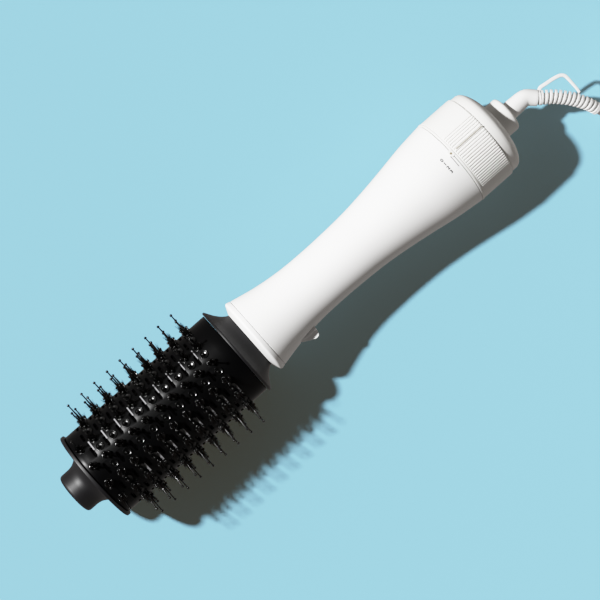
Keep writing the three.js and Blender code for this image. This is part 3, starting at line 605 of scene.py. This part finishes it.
def bristle_rows():
    for row in range(ROWS):
        name = f"bristle_row_{row + 1:02d}"
        where = LAY @ row_frame(row_angle(row))
        pins, tufts = [], []
        for x in row_stations(row):
            tuft_x = x + DICE.uniform(-0.15, 0.15)
            lean = (DICE.gauss(0, 0.012), DICE.gauss(0, 0.012))
            pins.append(ball_pin(tuft_x, 0, PIN_LENGTH, PIN_RADIUS, PIN_BALL, *lean))
            for dx, dy in ((-2.4, 0), (2.4, 0), (0, -1.95), (0, 1.95)):
                lean = (DICE.gauss(0, 0.03), DICE.gauss(0, 0.03))
                height = SHORT_PIN + DICE.uniform(-0.4, 0.3)
                pins.append(ball_pin(tuft_x + dx, dy, height, SHORT_PIN_RADIUS, PIN_BALL, *lean))
            foot = revolve(rounded([(-0.6, 0.4), (-0.6, 3.4), (0.2, 3.2), (0.2, 0.4)], 0.15, 2), 20)
            pins.append(([Vector((tuft_x + v.y, v.z * 0.8, v.x)) for v in foot[0]], foot[1]))
            tufts.append(tuft(tuft_x))
        make(name + "_pins", *joined(*pins), PIN_BLACK, "brush_head", "bristle_black", (name,), where, 50)
        make(name + "_boar", *joined(*tufts), BOAR, "brush_head", "bristle_black", (), where, 60)


def gap_pins():
    shapes = []
    for row in range(ROWS):
        where = row_frame(row_angle(row + 0.5))
        for i in range(STATIONS):
            x = FIRST_STATION + i * PITCH
            lean = (DICE.gauss(0, 0.02), DICE.gauss(0, 0.02))
            shapes.append(moved(ball_pin(x - 0.7, 0, SHORT_PIN, SHORT_PIN_RADIUS, GAP_BALL, *lean), where))
            shapes.append(moved(socket_ring(x, 0), where))
    make("gap_pins", *joined(*shapes), PIN_BLACK, "brush_head", "bristle_black", (), LAY, 50)


def air_sleeve():
    """A thin dark sleeve inside the barrel, which closes the view through the vents from side to side."""
    outline = [(-167.0, 25.0), (-167.0, 25.6), (-60.0, 25.6), (-60.0, 25.0)]
    verts, faces = revolve(outline, 56, shape=pressed(-50, -49))
    make("air_sleeve", verts, faces, INNER, "brush_head", "inner_plastic")


def vent_lips():
    """Raised lips on one long edge of the vents half-way up the barrel's sides, above and below, coloured
    pale grey: a painted highlight for the glints along the vents' edges.
    """
    shapes = []
    for degrees, first, count, width in ((59.5, -163.6, 9, 1.0), (124, -145.8, 8, 1.5)):
        for angle in (math.radians(degrees), -math.radians(degrees)):
            where = row_frame(angle)
            for i in range(count):
                half = width / 2 * lerp(1.0, 0.65, i / count)
                profile = rounded([(-half, -0.5), (half, -0.5), (half, 0.35), (-half, 0.35)], 0.3, 3)
                verts, faces = prism(profile, -3.7, 3.7)
                x = first + i * LIP_PITCH
                shapes.append(moved(([Vector((x + v.x, v.z, v.y)) for v in verts], faces), where))
    make("vent_lips", *joined(*shapes), LIP_PAINTED_GLINT, "brush_head", "barrel_gloss", (), LAY, 40)


make("barrel_shell", *barrel_shell(), BARREL_GLOSS, "brush_head", "barrel_gloss", ("barrel",), LAY, 30)
bristle_rows()
gap_pins()
air_sleeve()
vent_lips()

front = rounded([
    (-178.2, 3), (-178.2, FLANGE_RADIUS), (-175.8, FLANGE_RADIUS), (-175.8, 28.7), (-173, 28.7), (-173, 26),
    (-175.6, 26), (-175.6, 3),
], [0, 0.6, 0.6, 0.2, 0.3, 0.3, 0.3, 0], 5)
disc = revolve(front, 96, shape=pressed(-170, -165))
make("front_disc", *disc, CHARCOAL, "brush_head", "charcoal", ("front_plate",))

tip = [(TIP_END, 0.0)] + rounded([
    (TIP_END, 6), (TIP_END, 12.6), (TIP_END + 0.8, 14.2), (TIP_END + 2.2, TIP_RADIUS), (-187.3, TIP_RADIUS),
    (-184, 15.4), (-181, 17.2), (-178.52, 19.6), (-178.52, 7), (-191, 7),
], [0, 1.2, 1.0, 1.0, 3, 3, 3, 0.1, 0.3, 0], 5) + [(-191, 0.0)]
make("cool_cap", *revolve(tip, 72), CHARCOAL, "brush_head", "charcoal", ("cool_tip",), crease=50)

neck_outer = smooth_line([
    (-52.9, 33.2, 0), (-51.6, 31.0, 0), (-49.4, 27.6, 0), (-46.8, 24.5, 0), (-44.2, 22.3, 0),
    (-41.2, 20.7, 0), (-36.5, 17.6, 0),
], 5)
neck = rounded([(-54.6, 27.5), (-54.6, FLANGE_RADIUS), (-53.0, FLANGE_RADIUS)], [0.2, 0.5, 0.4], 4)
neck += [(p.x, p.y) for p in neck_outer] + [(-36.2, NECK_RADIUS), (NECK_REAR - 0.4, NECK_RADIUS)]
neck += [(NECK_REAR, NECK_RADIUS - 0.4), (NECK_REAR, NECK_BORE), (-37, NECK_BORE), (-45, 19.6), (-51, 25)]
funnel = revolve(neck, 96, shape=pressed(-52.9, -42))
neck_piece = make("head_funnel", *funnel, CHARCOAL, "brush_head", "charcoal", ("head_neck",))
carve(neck_piece, *slab((-17.3, 15.8, -4), (-14.5, 19.4, 4)))

# -------------------- the handle


def handle_radius(x):
    """The casing's outer radius at a place along the axis."""
    step = (HANDLE_REAR - HANDLE_FRONT) / (len(HANDLE_RADII) - 1)
    place_in = min(max((x - HANDLE_FRONT) / step, 0.0), len(HANDLE_RADII) - 1 - 1e-9)
    i = int(place_in)
    t = place_in - i
    b, c = HANDLE_RADII[i], HANDLE_RADII[i + 1]
    a = HANDLE_RADII[i - 1] if i > 0 else 2 * b - c
    d = HANDLE_RADII[i + 2] if i + 2 < len(HANDLE_RADII) else 2 * c - b
    return (b * (2 * t**3 - 3 * t**2 + 1) + (c - a) / 2 * (t**3 - 2 * t**2 + t)
            + c * (3 * t**2 - 2 * t**3) + (d - b) / 2 * (t**3 - t**2))


def handle_half(name, node_name, upper):
    steps = 72
    xs = [lerp(HANDLE_FRONT, HANDLE_REAR, i / steps) for i in range(steps + 1)]
    outer = [(x, handle_radius(x)) for x in xs[1:-1]]
    front_radius, rear_radius = handle_radius(HANDLE_FRONT), handle_radius(HANDLE_REAR)
    ends = [(HANDLE_FRONT + 0.02, front_radius - 0.5), (HANDLE_FRONT + 0.35, front_radius - 0.1)]
    rear = [(HANDLE_REAR - 0.3, rear_radius - 0.04), (HANDLE_REAR, rear_radius - 0.4)]
    inner = [(x, handle_radius(x) - HANDLE_WALL) for x in reversed(xs)]
    outline = ends + outer + rear + inner
    seam = 0.2
    start, end = (seam, 180 - seam) if upper else (180 + seam, 360 - seam)
    shell = revolve(outline, 72, start, end)
    piece = make(name, *shell, HANDLE_WHITE, "handle", "handle_white", (node_name,))
    edge = rounded([
        (WINDOW_FRONT, -WINDOW_HALF), (WINDOW_REAR, -WINDOW_HALF), (WINDOW_REAR, WINDOW_HALF),
        (WINDOW_FRONT, WINDOW_HALF),
    ], 1.6, 5)
    verts, faces = prism(edge, 15, 40)
    carve(piece, [Vector((v.x, -v.z, v.y)) for v in verts], faces)


handle_half("casing_upper", "handle_upper", True)
handle_half("casing_lower", "handle_lower", False)

collar = rounded([
    (-42.2, 21.4), (-39.5, 27.7), (-38.4, 28.35), (-35.55, 27.55), (-35.55, 24.9), (-27, 22.9), (-27, 18.2),
    (-36, 18.2),
], [0.5, 0.8, 0.8, 0.25, 0.1, 0.3, 0.3, 0.5], 5)
make("collar", *revolve(collar, 96), HANDLE_WHITE, "handle", "handle_white", ("front_collar",))

# The release button is a slide that fills its window, with a thinner wedge for the thumb in its middle.
thumb_front, thumb_rear = WINDOW_FRONT + WINDOW_GAP, WINDOW_REAR - WINDOW_GAP
thumb_half = WINDOW_HALF - WINDOW_GAP
wedge = rounded([
    (thumb_front, -20.2), (thumb_front, -23.8), (-8.6, -28.6), (-5.6, -28.0), (thumb_rear, -24.2),
    (thumb_rear, -20.2),
], [0, 0.8, 1.8, 1.3, 0.6, 0], 5)
slide = rounded([
    (thumb_front, -20.2), (thumb_front, -23.4), (thumb_rear, -23.8), (thumb_rear, -20.2),
], [0, 0.5, 0.5, 0], 4)
nub = prism(wedge, -NUB_HALF, NUB_HALF)
thumb = make("release_thumb", *joined(prism(slide, -thumb_half, thumb_half), nub), HANDLE_WHITE, crease=50)
bevelled(thumb, 0.7, 4, 50)
settle(thumb, "release_button", "handle_white", ("release_button",))
latch_outline = rounded([(-17, 17.85), (-17, 20.5), (-14.8, 20.5), (-14.8, 17.85)], 0.25, 2)


def latch_shape(point, angle, r):
    """The latch plate's outside is a little oval, and its bore is long by the button's travel."""
    if r > 19:
        return Vector((point.x, point.y * 0.96 - 1.1, point.z))
    return Vector((point.x, point.y - (BUTTON_TRAVEL if point.y < 0 else 0), point.z))


latch = revolve(latch_outline, 64, shape=latch_shape)
catch = slab((-17, 16.2, -3.4), (-14.8, 18.3, 3.4))
foot = slab((-17, -20.8, -3.4), (-14.8, -19.9, 3.4))
make("latch_plate", *joined(latch, catch, foot), HANDLE_WHITE, "release_button", "handle_white")

# -------------------- dial, scale, rear cap and boss


def dial_turned():
    """The dial ring, with a groove round its front and fine grooves along it on one side."""
    rib_front, rib_rear = DIAL_FRONT + 2.6, DIAL_REAR - 0.3
    outline = rounded([
        (DIAL_FRONT, DIAL_BORE), (DIAL_FRONT, DIAL_RADIUS + 0.1), (rib_front - 1.2, DIAL_RADIUS + 0.1),
        (rib_front - 1.0, DIAL_RADIUS - 0.3), (rib_front - 0.7, DIAL_RADIUS - 0.3),
        (rib_front - 0.5, DIAL_RADIUS - 0.1), (rib_front, DIAL_RADIUS - 0.1),
    ], [0.3, 0.3, 0.1, 0.1, 0.1, 0.1, 0.1], 4)
    outline += [(rib_front + 0.35, DIAL_RADIUS - 0.15)]
    outline += [(lerp(rib_front + 1, rib_rear - 1, k / 6), DIAL_RADIUS - 0.15) for k in range(7)]
    outline += [(rib_rear - 0.3, DIAL_RADIUS - 0.2)]
    outline += rounded([(DIAL_REAR, DIAL_RADIUS - 0.3), (DIAL_REAR, DIAL_BORE)], [0.5, 0.3], 4)
    first = 90 + FIRST_RIB
    last = first + RIB_PITCH * RIB_COUNT
    per_rib = 10
    fine = [math.radians(first + RIB_PITCH * k / per_rib) for k in range(RIB_COUNT * per_rib + 1)]
    coarse = 88
    rest = [math.radians(last + (360 - (last - first)) * k / coarse) for k in range(1, coarse + 1)]
    angles = fine + rest

    def ribbed(point, angle, r):
        if r < DIAL_RADIUS - 1.2 or not rib_front + 0.2 < point.x < rib_rear:
            return point
        degrees = math.degrees(angle) - first
        if not -1e-6 <= degrees <= RIB_PITCH * RIB_COUNT + 1e-6:
            return point
        phase = (degrees / RIB_PITCH) % 1.0
        groove = max(0.0, 1 - (abs(phase - 0.5) / 0.22) ** 2) ** 0.5
        return point + Vector((0, point.y, point.z)) / r * (0.2 - 0.75 * groove)
    return revolve(outline, 0, shape=ribbed, angles=angles)


make("dial_turned", *dial_turned(), DIAL_WHITE, "dial", "dial_white", ("dial_ring",), crease=32)


def wrapped(shape, x0, angle0, radius_at):
    """A flat shape (x along the axis, y up, z out) laid on a round surface, y running against the angle."""
    verts, faces = shape
    result = []
    for v in verts:
        x = x0 + v.x
        r = radius_at(x) + v.z
        angle = angle0 - v.y / radius_at(x)
        result.append(Vector((x, r * math.cos(angle), r * math.sin(angle))))
    return result, faces


def glyph(text, size, depth):
    """A numeral as a closed thin solid, in millimetres."""
    curve = bpy.data.curves.new("glyph", "FONT")
    curve.body, curve.size, curve.extrude, curve.offset = text, size, depth, 0.09
    curve.align_x, curve.align_y = "CENTER", "CENTER"
    curve.resolution_u = 4
    thing = bpy.data.objects.new("glyph", curve)
    bpy.context.scene.collection.objects.link(thing)
    graph = bpy.context.evaluated_depsgraph_get()
    mesh = bpy.data.meshes.new_from_object(thing.evaluated_get(graph))
    shape = [v.co.copy() for v in mesh.vertices], [tuple(p.vertices) for p in mesh.polygons]
    bpy.data.objects.remove(thing)
    bpy.data.meshes.remove(mesh)
    return shape


def stroke(length, width, depth):
    """A flat bar with rounded corners."""
    x, y = length / 2, width / 2
    return prism(rounded([(-x, -y), (x, -y), (x, y), (-x, y)], width * 0.4, 2), -depth, depth)


def on_dial(x):
    """The dial's radius, which is the same all along it."""
    return DIAL_RADIUS


TOP = math.pi / 2
DIAL_POSITIONS, SCALE_STEP = 4, math.radians(5.7)
NUMERAL_X, NUMERAL_SIZE, DASH_X, PRINT_DEPTH = 127.0, 3.3, 132.8, 0.1
SCALE_START = TOP - math.radians(8.6)
marks = []
for index in range(DIAL_POSITIONS):
    numeral = glyph(str(index), NUMERAL_SIZE, PRINT_DEPTH)
    marks.append(wrapped(numeral, NUMERAL_X, SCALE_START + index * SCALE_STEP, handle_radius))
dash = moved(stroke(1.32, 0.34, PRINT_DEPTH), Matrix.Rotation(math.pi / 2, 4, "Z"))
for part in range(7):
    mark_angle = SCALE_START + (0.75 + part * 0.375) * SCALE_STEP
    marks.append(wrapped(dash, DASH_X, mark_angle, handle_radius))
make("scale_marks", *joined(*marks), PAD_PRINT, "handle", "handle_white", (), LAY, 30)

POINTER_ANGLE, DOT_RADIUS = TOP - math.radians(7.6), 0.75
LINE_X, TAB_X, DOT_X = 150, 134.3, 134.2
line_shape = wrapped(stroke(22.8, 0.6, 0.45), LINE_X, POINTER_ANGLE, lambda x: DIAL_RADIUS + 0.1)
tab_outline = rounded([(-1.3, -2.4), (1.6, -2.4), (1.6, 2.4), (-1.3, 2.4)], 0.7, 4)
tab_shape = wrapped(prism(tab_outline, -0.08, 0.35), TAB_X, POINTER_ANGLE, on_dial)
make("dial_line", *joined(line_shape, tab_shape), DIAL_WHITE, "dial", "dial_white")
dot_angles = [2 * math.pi * k / 16 for k in range(16)]
dot_outline = [(DOT_RADIUS * math.cos(a), DOT_RADIUS * math.sin(a)) for a in dot_angles]
dot_shape = wrapped(prism(dot_outline, 0.1, 0.42), DOT_X, POINTER_ANGLE, on_dial)
inlay_shape = wrapped(stroke(22.6, 0.36, 0.12), LINE_X, POINTER_ANGLE, lambda x: DIAL_RADIUS + 0.48)
make("dial_dot", *joined(dot_shape, inlay_shape), TAN_PRINT, "dial", "dial_white")

cap_curve = smooth_line([
    (166.6, 31.1, 0), (168.6, 30.2, 0), (170.3, 28.4, 0), (171.7, 26.0, 0), (172.9, 23.2, 0),
    (CAP_END, 20.6, 0),
], 5)
cap_outline = [(161.72, 28.7), (161.72, 31.0), (161.95, 31.2)] + [(p.x, p.y) for p in cap_curve]
cap_outline += [(CAP_END, 10.2), (171.4, 10.2), (171.4, 22.6), (169.4, 26.4), (167, 28.3)]
cap = make("end_cap", *revolve(cap_outline, 96), DIAL_WHITE, "handle", "dial_white", ("rear_cap",))
vent = prism(rounded([(13.6, -0.95), (19.4, -0.95), (19.4, 0.95), (13.6, 0.95)], 0.9, 4), 169.5, 175, "x")
holes = [moved(vent, about_x(11.25 + 22.5 * k)) for k in range(16)]
screw_hole = revolve([(169.5, 0), (169.5, 1.9), (175, 1.9), (175, 0)], 20)
countersink = revolve([(CAP_END - 1.7, 0), (CAP_END - 1.7, 3), (175, 3), (175, 0)], 24)
screw_places = [about_x(180 * k) @ Matrix.Translation((0, 20, 0)) for k in range(2)]
holes += [moved(screw_hole, place) for place in screw_places]
carve(cap, *joined(*holes))
carve(cap, *joined(*[moved(countersink, place) for place in screw_places]))

boss = rounded([
    (166, 6.3), (166, 9.8), (CAP_END + 0.3, 9.8), (CAP_END + 0.3, SOCKET_RADIUS),
    (SOCKET_REAR, SOCKET_RADIUS), (SOCKET_REAR, 6.3),
], [0.3, 0.3, 0, 0.5, 2.6, 0.4], 6)
make("boss", *revolve(boss, 72), DIAL_WHITE, "handle", "handle_white", ("swivel_socket",), crease=50)

# -------------------- swivel arm, strain relief and loop

elbow_path = Path(smooth_line(ELBOW_PATH, 12))
reach = elbow_path.length
arm_outline = [(0, 0), (0.0, 5.9), (0.5, 6.35)]
arm_places = [lerp(1.2, reach - 0.8, k / 18) for k in range(19)]
arm_outline += [(x, lerp(6.35, 5.45, smoothstep(x, 2, reach))) for x in arm_places]
arm_outline += [(reach - 0.25, 5.3), (reach, 4.9), (reach, 0)]
arm = revolve(arm_outline, 40)
stem = revolve([
    (162.5, 0), (162.5, 5.7), (162.8, 5.9), (163.7, 5.9), (163.7, 4.9), (165.7, 4.9), (165.7, 5.9),
    (186.2, 5.9), (186.2, 0),
], 40)
arm_shape = joined((elbow_path.bend(arm[0]), arm[1]), stem)
make("swivel_arm", *arm_shape, CORD_WHITE, "swivel", "cord_white", ("swivel_elbow",))

GROOVE_DEPTH = 2.1
relief_path = Path(smooth_line(RELIEF_PATH, 12))
reach = relief_path.length


def relief_shape(point, angle, r):
    """A single rib that runs round the sleeve as a helix, over a narrow groove."""
    if r < 1 or point.x < 1.2 or point.x > reach - 1.5:
        return point
    phase = (point.x / RIB_WAVE + angle / (2 * math.pi)) % 1.0
    groove = max(0.0, 1 - (abs(phase - 0.5) / 0.25) ** 4) ** 0.5
    shrink = 1 - GROOVE_DEPTH * groove / r
    return Vector((point.x, point.y * shrink, point.z * shrink))


rings = int(reach / RIB_WAVE * 12)
relief_outline = [(0, 0), (0, 4.7), (0.2, 4.95)]
relief_places = [lerp(0.6, reach - 0.4, k / rings) for k in range(rings + 1)]
relief_outline += [(x, lerp(5.05, 4.35, x / reach)) for x in relief_places]
relief_outline += [(reach, 4.0), (reach, 0)]
relief = revolve(relief_outline, 28, shape=relief_shape)
make(
    "relief_sleeve", relief_path.bend(relief[0]), relief[1], CORD_WHITE, "swivel", "cord_white",
    ("strain_relief",), crease=50,
)

loop_path = Path(smooth_line(LOOP_PATH, 10))
section = rounded([(-1.25, -0.8), (1.25, -0.8), (1.25, 0.8), (-1.25, 0.8)], 0.6, 4)
loop_verts, loop_faces = [], []
loop_steps, sides = 60, len(section)
for i in range(loop_steps + 1):
    along = loop_path.length * i / loop_steps
    slim = lerp(1.0, 0.72, smoothstep(along, 14, loop_path.length))
    loop_verts += [Vector((along, y * slim, z)) for y, z in section]
for i in range(loop_steps):
    for k in range(sides):
        a, b = i * sides + k, i * sides + (k + 1) % sides
        loop_faces.append((a, b, b + sides, a + sides))
loop_faces += [tuple(range(sides))[::-1], tuple(range(loop_steps * sides, (loop_steps + 1) * sides))]
loop_verts = loop_path.bend(loop_verts)
make("cord_loop", loop_verts, loop_faces, CORD_WHITE, "swivel", "cord_white", ("hang_loop",))

# -------------------- the free cord, in millimetres on the ground


PLUG_HEIGHT = COIL_LIFT + CORD_DIAMETER * LAYERS + 0.3 + PLUG_THICKNESS / 2


def coil_slot(index):
    """Radius and height of the cord's line in one turn of the coil, in layers wound in, out and in."""
    layer, turn_in = divmod(min(index, LAYERS * TURNS_IN_LAYER - 1), TURNS_IN_LAYER)
    step = turn_in if layer % 2 == 0 else TURNS_IN_LAYER - 1 - turn_in
    radius = COIL_MEAN_RADIUS + CORD_DIAMETER * (1 - step)
    return radius, COIL_LIFT + CORD_DIAMETER * (layer + 0.5)


def around_coil(angle, radius, height):
    """A point over the ground at an angle and a radius round the coil's centre."""
    x, y = COIL_CENTRE
    return Vector((x + radius * math.cos(angle), y + radius * math.sin(angle), height))


def tail_point(turned_by, height):
    """A point on the tail, which curls in from the coil's outer turn on a smaller circle."""
    centre = around_coil(TAIL_START, COIL_MEAN_RADIUS + CORD_DIAMETER - TAIL_RADIUS, height)
    angle = TAIL_START + turned_by
    return centre + Vector((TAIL_RADIUS * math.cos(angle), TAIL_RADIUS * math.sin(angle), 0))


def cord_line():
    """The cord's centre line: out of the relief, down to the coil, round its turns and up to the plug."""
    relief_end, heading = relief_path.at(relief_path.length)
    ground_end = GROUND.inverted() @ LAY @ relief_end
    ground_heading = (turn.to_3x3() @ heading).normalized()
    knots = [ground_end - ground_heading * 3.5, ground_end + ground_heading * 0.3]
    knots += [Vector((COIL_CENTRE[0] + x, COIL_CENTRE[1] + y, z)) for x, y, z in LEAD_ROUTE]
    first_angle, start, shift = math.radians(252), math.radians(300), math.radians(110)
    for k in range(1, 5):
        t = smoothstep(k, 0, 4)
        knots.append(around_coil(lerp(first_angle, start, k / 4), lerp(45.8, 39, t), lerp(3.4, 4.45, t)))
    line = smooth_line(knots, 6)
    per_turn = 36
    last = start + 2 * math.pi * (LAYERS * TURNS_IN_LAYER - 1) + math.radians(120)
    count = round((last - start) / (2 * math.pi) * per_turn)
    rise_start = math.radians(12)
    rise_length = rise_start + 0.45 * TAIL_TURN
    low_top = COIL_LIFT + CORD_DIAMETER * (LAYERS + 0.5) + 0.3
    for k in range(1, count + 1):
        travelled = (last - start) * k / count
        index = int(travelled / (2 * math.pi) + 1e-9)
        into = travelled - index * 2 * math.pi - (2 * math.pi - shift)
        t = smoothstep(into, 0, shift)
        (r0, z0), (r1, z1) = coil_slot(index), coil_slot(index + 1)
        height = lerp(z0, z1, t)
        left = last - start - travelled
        if left < rise_start:
            height = lerp(height, low_top, smoothstep(rise_start - left, 0, rise_length))
        line.append(around_coil(start + travelled, lerp(r0, r1, t), height))
    base_height = coil_slot(LAYERS * TURNS_IN_LAYER)[1]
    steps = 20
    for k in range(1, steps + 1):
        part = k / steps
        height = lerp(base_height, low_top, smoothstep(rise_start + part * TAIL_TURN, 0, rise_length))
        height = lerp(height, PLUG_HEIGHT, smoothstep(part, 0.5, 0.9))
        line.append(tail_point(part * TAIL_TURN, height))
    line.append(line[-1] + (line[-1] - line[-2]).normalized() * 1.5)
    return line


def tube(line, radius, sides=14):
    """A closed round tube swept along a line with a frame that doesn't twist."""
    verts, faces = [], []
    side = None
    last = len(line) - 1
    for i, point in enumerate(line):
        tangent = (line[min(i + 1, last)] - line[max(i - 1, 0)]).normalized()
        side = side - tangent * side.dot(tangent) if side else tangent.orthogonal()
        side.normalize()
        other = tangent.cross(side)
        for k in range(sides):
            a = 2 * math.pi * k / sides
            verts.append(point + (side * math.cos(a) + other * math.sin(a)) * radius)
    for i in range(last):
        for k in range(sides):
            a, b = i * sides + k, i * sides + (k + 1) % sides
            faces.append((a, b, b + sides, a + sides))
    return verts, faces + [tuple(range(sides))[::-1], tuple(range(last * sides, (last + 1) * sides))]


cord_route = cord_line()
cord_length = sum((b - a).length for a, b in zip(cord_route, cord_route[1:])) / 1000
cord = make("mains_cord", *tube(cord_route, CORD_DIAMETER / 2), CORD_WHITE, lay=GROUND, crease=60)

side_line = [
    (0, 3.9), (9, 4.4), (13.5, 6.2), (16.5, 9.6), (19.5, 11.6), (PLUG_LENGTH - 2, 11.6), (PLUG_LENGTH, 10.4),
]
side_rounding = [0.5, 3, 3, 3, 3, 1, 1]
plug_outline = side_line + [(x, -y) for x, y in reversed(side_line)]
plug_outline = rounded(plug_outline, side_rounding + side_rounding[::-1], 4)
plug_frame = GROUND @ Matrix.Translation(tail_point(TAIL_TURN, PLUG_HEIGHT))
plug_frame = plug_frame @ Matrix.Rotation(TAIL_START + TAIL_TURN + math.pi / 2, 4, "Z")
plug_frame = plug_frame @ Matrix.Translation((0.3, 0, 0))
half = PLUG_THICKNESS / 2
plug = make("plug_shell", *prism(plug_outline, -half, half), CORD_WHITE, lay=plug_frame)
bevelled(plug, 1.6, 4)
grips = [slab((x - 0.55, -13, z - 0.5), (x + 0.55, 13, z + 0.5))
         for x in (22, 24.4, 26.8, 29.2) for z in (-half, half)]
sockets = [slab((PLUG_LENGTH - 1, y - 3.5, -1.1), (PLUG_LENGTH + 2, y + 3.5, 1.1)) for y in (-6.35, 6.35)]
carve(plug, *joined(*grips, *sockets), lay=plug_frame)
settle(plug, "handle", "cord_white", ("plug_body",))

def tie_ring(grow, corner):
    """The tie's outline round three by four turns of cord, grown by some thickness."""
    x, y = 3 * CORD_DIAMETER / 2 + 0.6 + grow, 4 * CORD_DIAMETER / 2 + 0.3 + grow
    return rounded([(-x, -y), (x, -y), (x, y), (-x, y)], corner, 5)


TIE_THICKNESS = 0.8
tie_outer, tie_inner = tie_ring(TIE_THICKNESS, 2.4), tie_ring(0, 1.8)
tie_lay = GROUND @ Matrix.Translation((*COIL_CENTRE, 0)) @ Matrix.Rotation(TAIL_START - math.pi / 2, 4, "Z")
tie_lay = tie_lay @ Matrix.Translation((COIL_MEAN_RADIUS, 0, COIL_LIFT + 2 * CORD_DIAMETER))
ring_size = len(tie_outer)
tie_verts = [Vector((x, y, z)) for y in (-4, 4) for outline in (tie_outer, tie_inner) for x, z in outline]
tie_faces = []
for k in range(ring_size):
    n = (k + 1) % ring_size
    for a, b in ((0, 1), (3, 2), (2, 0), (1, 3)):
        tie_faces.append((a * ring_size + k, a * ring_size + n, b * ring_size + n, b * ring_size + k))
tie = make("cord_tie", tie_verts, tie_faces, TIE_CLOTH, "handle", "tie", ("coil_tie",), tie_lay)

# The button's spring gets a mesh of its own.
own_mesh(NODES["button_spring"])

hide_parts("cord_lead", "cord_coil", "cord_tail")
relief_exit = LAY @ relief_path.at(relief_path.length)[0]
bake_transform(cord)

# -------------------- floor, light and camera

FLOOR_COLOR = (0.180, 0.413, 0.55)
# A faint warm light painted into the floor as a glow, which lifts and warms the floor's shadows.
FLOOR_PAINTED_GLOW = (0.018, 0.010, 0.001)
LAMP_PLACE = Vector((-0.643, 0.793, 1.22))
LAMP_RADIUS = 0.044
LAMP_WATTS = 117.0
LAMP_FALL_OFF = 3.0  # the power of the distance by which the floor's colour is raised
SKY_COLOR, ZENITH_LIGHT, HORIZON_LIGHT = (1.0, 0.94, 0.89), 0.016, 0.17
CAMERA_LENS, CAMERA_HEIGHT, CAMERA_ASIDE, CAMERA_ROLL = 102.5, 1.128, -2.2, math.radians(-41.4)

floor_mesh = bpy.data.meshes.new("studio_floor")
floor_mesh.from_pydata([(-30, -30, 0), (30, -30, 0), (30, 30, 0), (-30, 30, 0)], [], [(0, 1, 2, 3)])
floor = bpy.data.objects.new("studio_floor", floor_mesh)
bpy.context.scene.collection.objects.link(floor)
floor.visible_diffuse = floor.visible_glossy = False
floor_material, tree, shader = new_material("studio_floor")
shader.inputs["Roughness"].default_value = 0.9
shader.inputs["Specular IOR Level"].default_value = 0.0
# Painted light: the floor glows faintly warm, which lifts its shadows.
shader.inputs["Emission Color"].default_value = (*FLOOR_PAINTED_GLOW, 1)
shader.inputs["Emission Strength"].default_value = 1.0
# The floor's colour makes up for the lamp's fall-off, so that the lit floor is even.
here = node(tree, "ShaderNodeTexCoord").outputs["Object"]
away = node(tree, "ShaderNodeVectorMath")
away.operation = "DISTANCE"
tree.links.new(here, away.inputs[0])
away.inputs[1].default_value = LAMP_PLACE
relative = node(tree, "ShaderNodeMath")
relative.operation = "DIVIDE"
tree.links.new(away.outputs["Value"], relative.inputs[0])
relative.inputs[1].default_value = LAMP_PLACE.length
makeup = node(tree, "ShaderNodeMath")
makeup.operation = "POWER"
tree.links.new(relative.outputs[0], makeup.inputs[0])
makeup.inputs[1].default_value = LAMP_FALL_OFF
evened = node(tree, "ShaderNodeVectorMath")
evened.operation = "SCALE"
evened.inputs[0].default_value = FLOOR_COLOR
tree.links.new(makeup.outputs[0], evened.inputs["Scale"])
tree.links.new(evened.outputs["Vector"], shader.inputs["Base Color"])
floor_mesh.materials.append(floor_material)

world = bpy.data.worlds.new("studio")
bpy.context.scene.world = world
world.use_nodes = True
tree = world.node_tree
sky = tree.nodes["Background"]
sky.inputs["Color"].default_value = (*SKY_COLOR, 1)
height = node(tree, "ShaderNodeSeparateXYZ")
tree.links.new(node(tree, "ShaderNodeTexCoord").outputs["Generated"], height.inputs[0])
band = node(tree, "ShaderNodeMapRange")
band.interpolation_type = "SMOOTHSTEP"
for key, value in (("From Min", 0.4), ("From Max", 0.8), ("To Min", HORIZON_LIGHT), ("To Max", ZENITH_LIGHT)):
    band.inputs[key].default_value = value
tree.links.new(height.outputs["Z"], band.inputs["Value"])
tree.links.new(band.outputs["Result"], sky.inputs["Strength"])

key = bpy.data.lights.new("key", "POINT")
key.energy, key.shadow_soft_size, key.color = LAMP_WATTS, LAMP_RADIUS, (1.0, 1.0, 1.0)
key_lamp = bpy.data.objects.new("key", key)
key_lamp.location = LAMP_PLACE
bpy.context.scene.collection.objects.link(key_lamp)

camera = bpy.data.cameras.new("camera")
camera.lens, camera.sensor_width = CAMERA_LENS, 36
camera.clip_start, camera.clip_end = 0.05, 50
eye = bpy.data.objects.new("camera", camera)
eye.location = LAY @ Vector((0, CAMERA_ASIDE, 0)) + Vector((0, 0, CAMERA_HEIGHT))
eye.rotation_euler = (0, 0, CAMERA_ROLL)
bpy.context.scene.collection.objects.link(eye)
bpy.context.scene.camera = eye
view = bpy.context.scene.view_settings
view.view_transform = "Standard"
# A soft shoulder in the light tones, as in a photograph of white plastic.
view.use_curve_mapping = True
view.curve_mapping.use_clip = False
shoulder = view.curve_mapping.curves[3]
shoulder.points[1].location = (1.0, 0.955)
TONES = (
    (0.02, 0.036), (0.05, 0.097), (0.15, 0.29), (0.32, 0.56), (0.44, 0.70), (0.635, 0.84), (0.775, 0.905),
)
for before, after in TONES:
    shoulder.points.new(before, after)
view.curve_mapping.update()
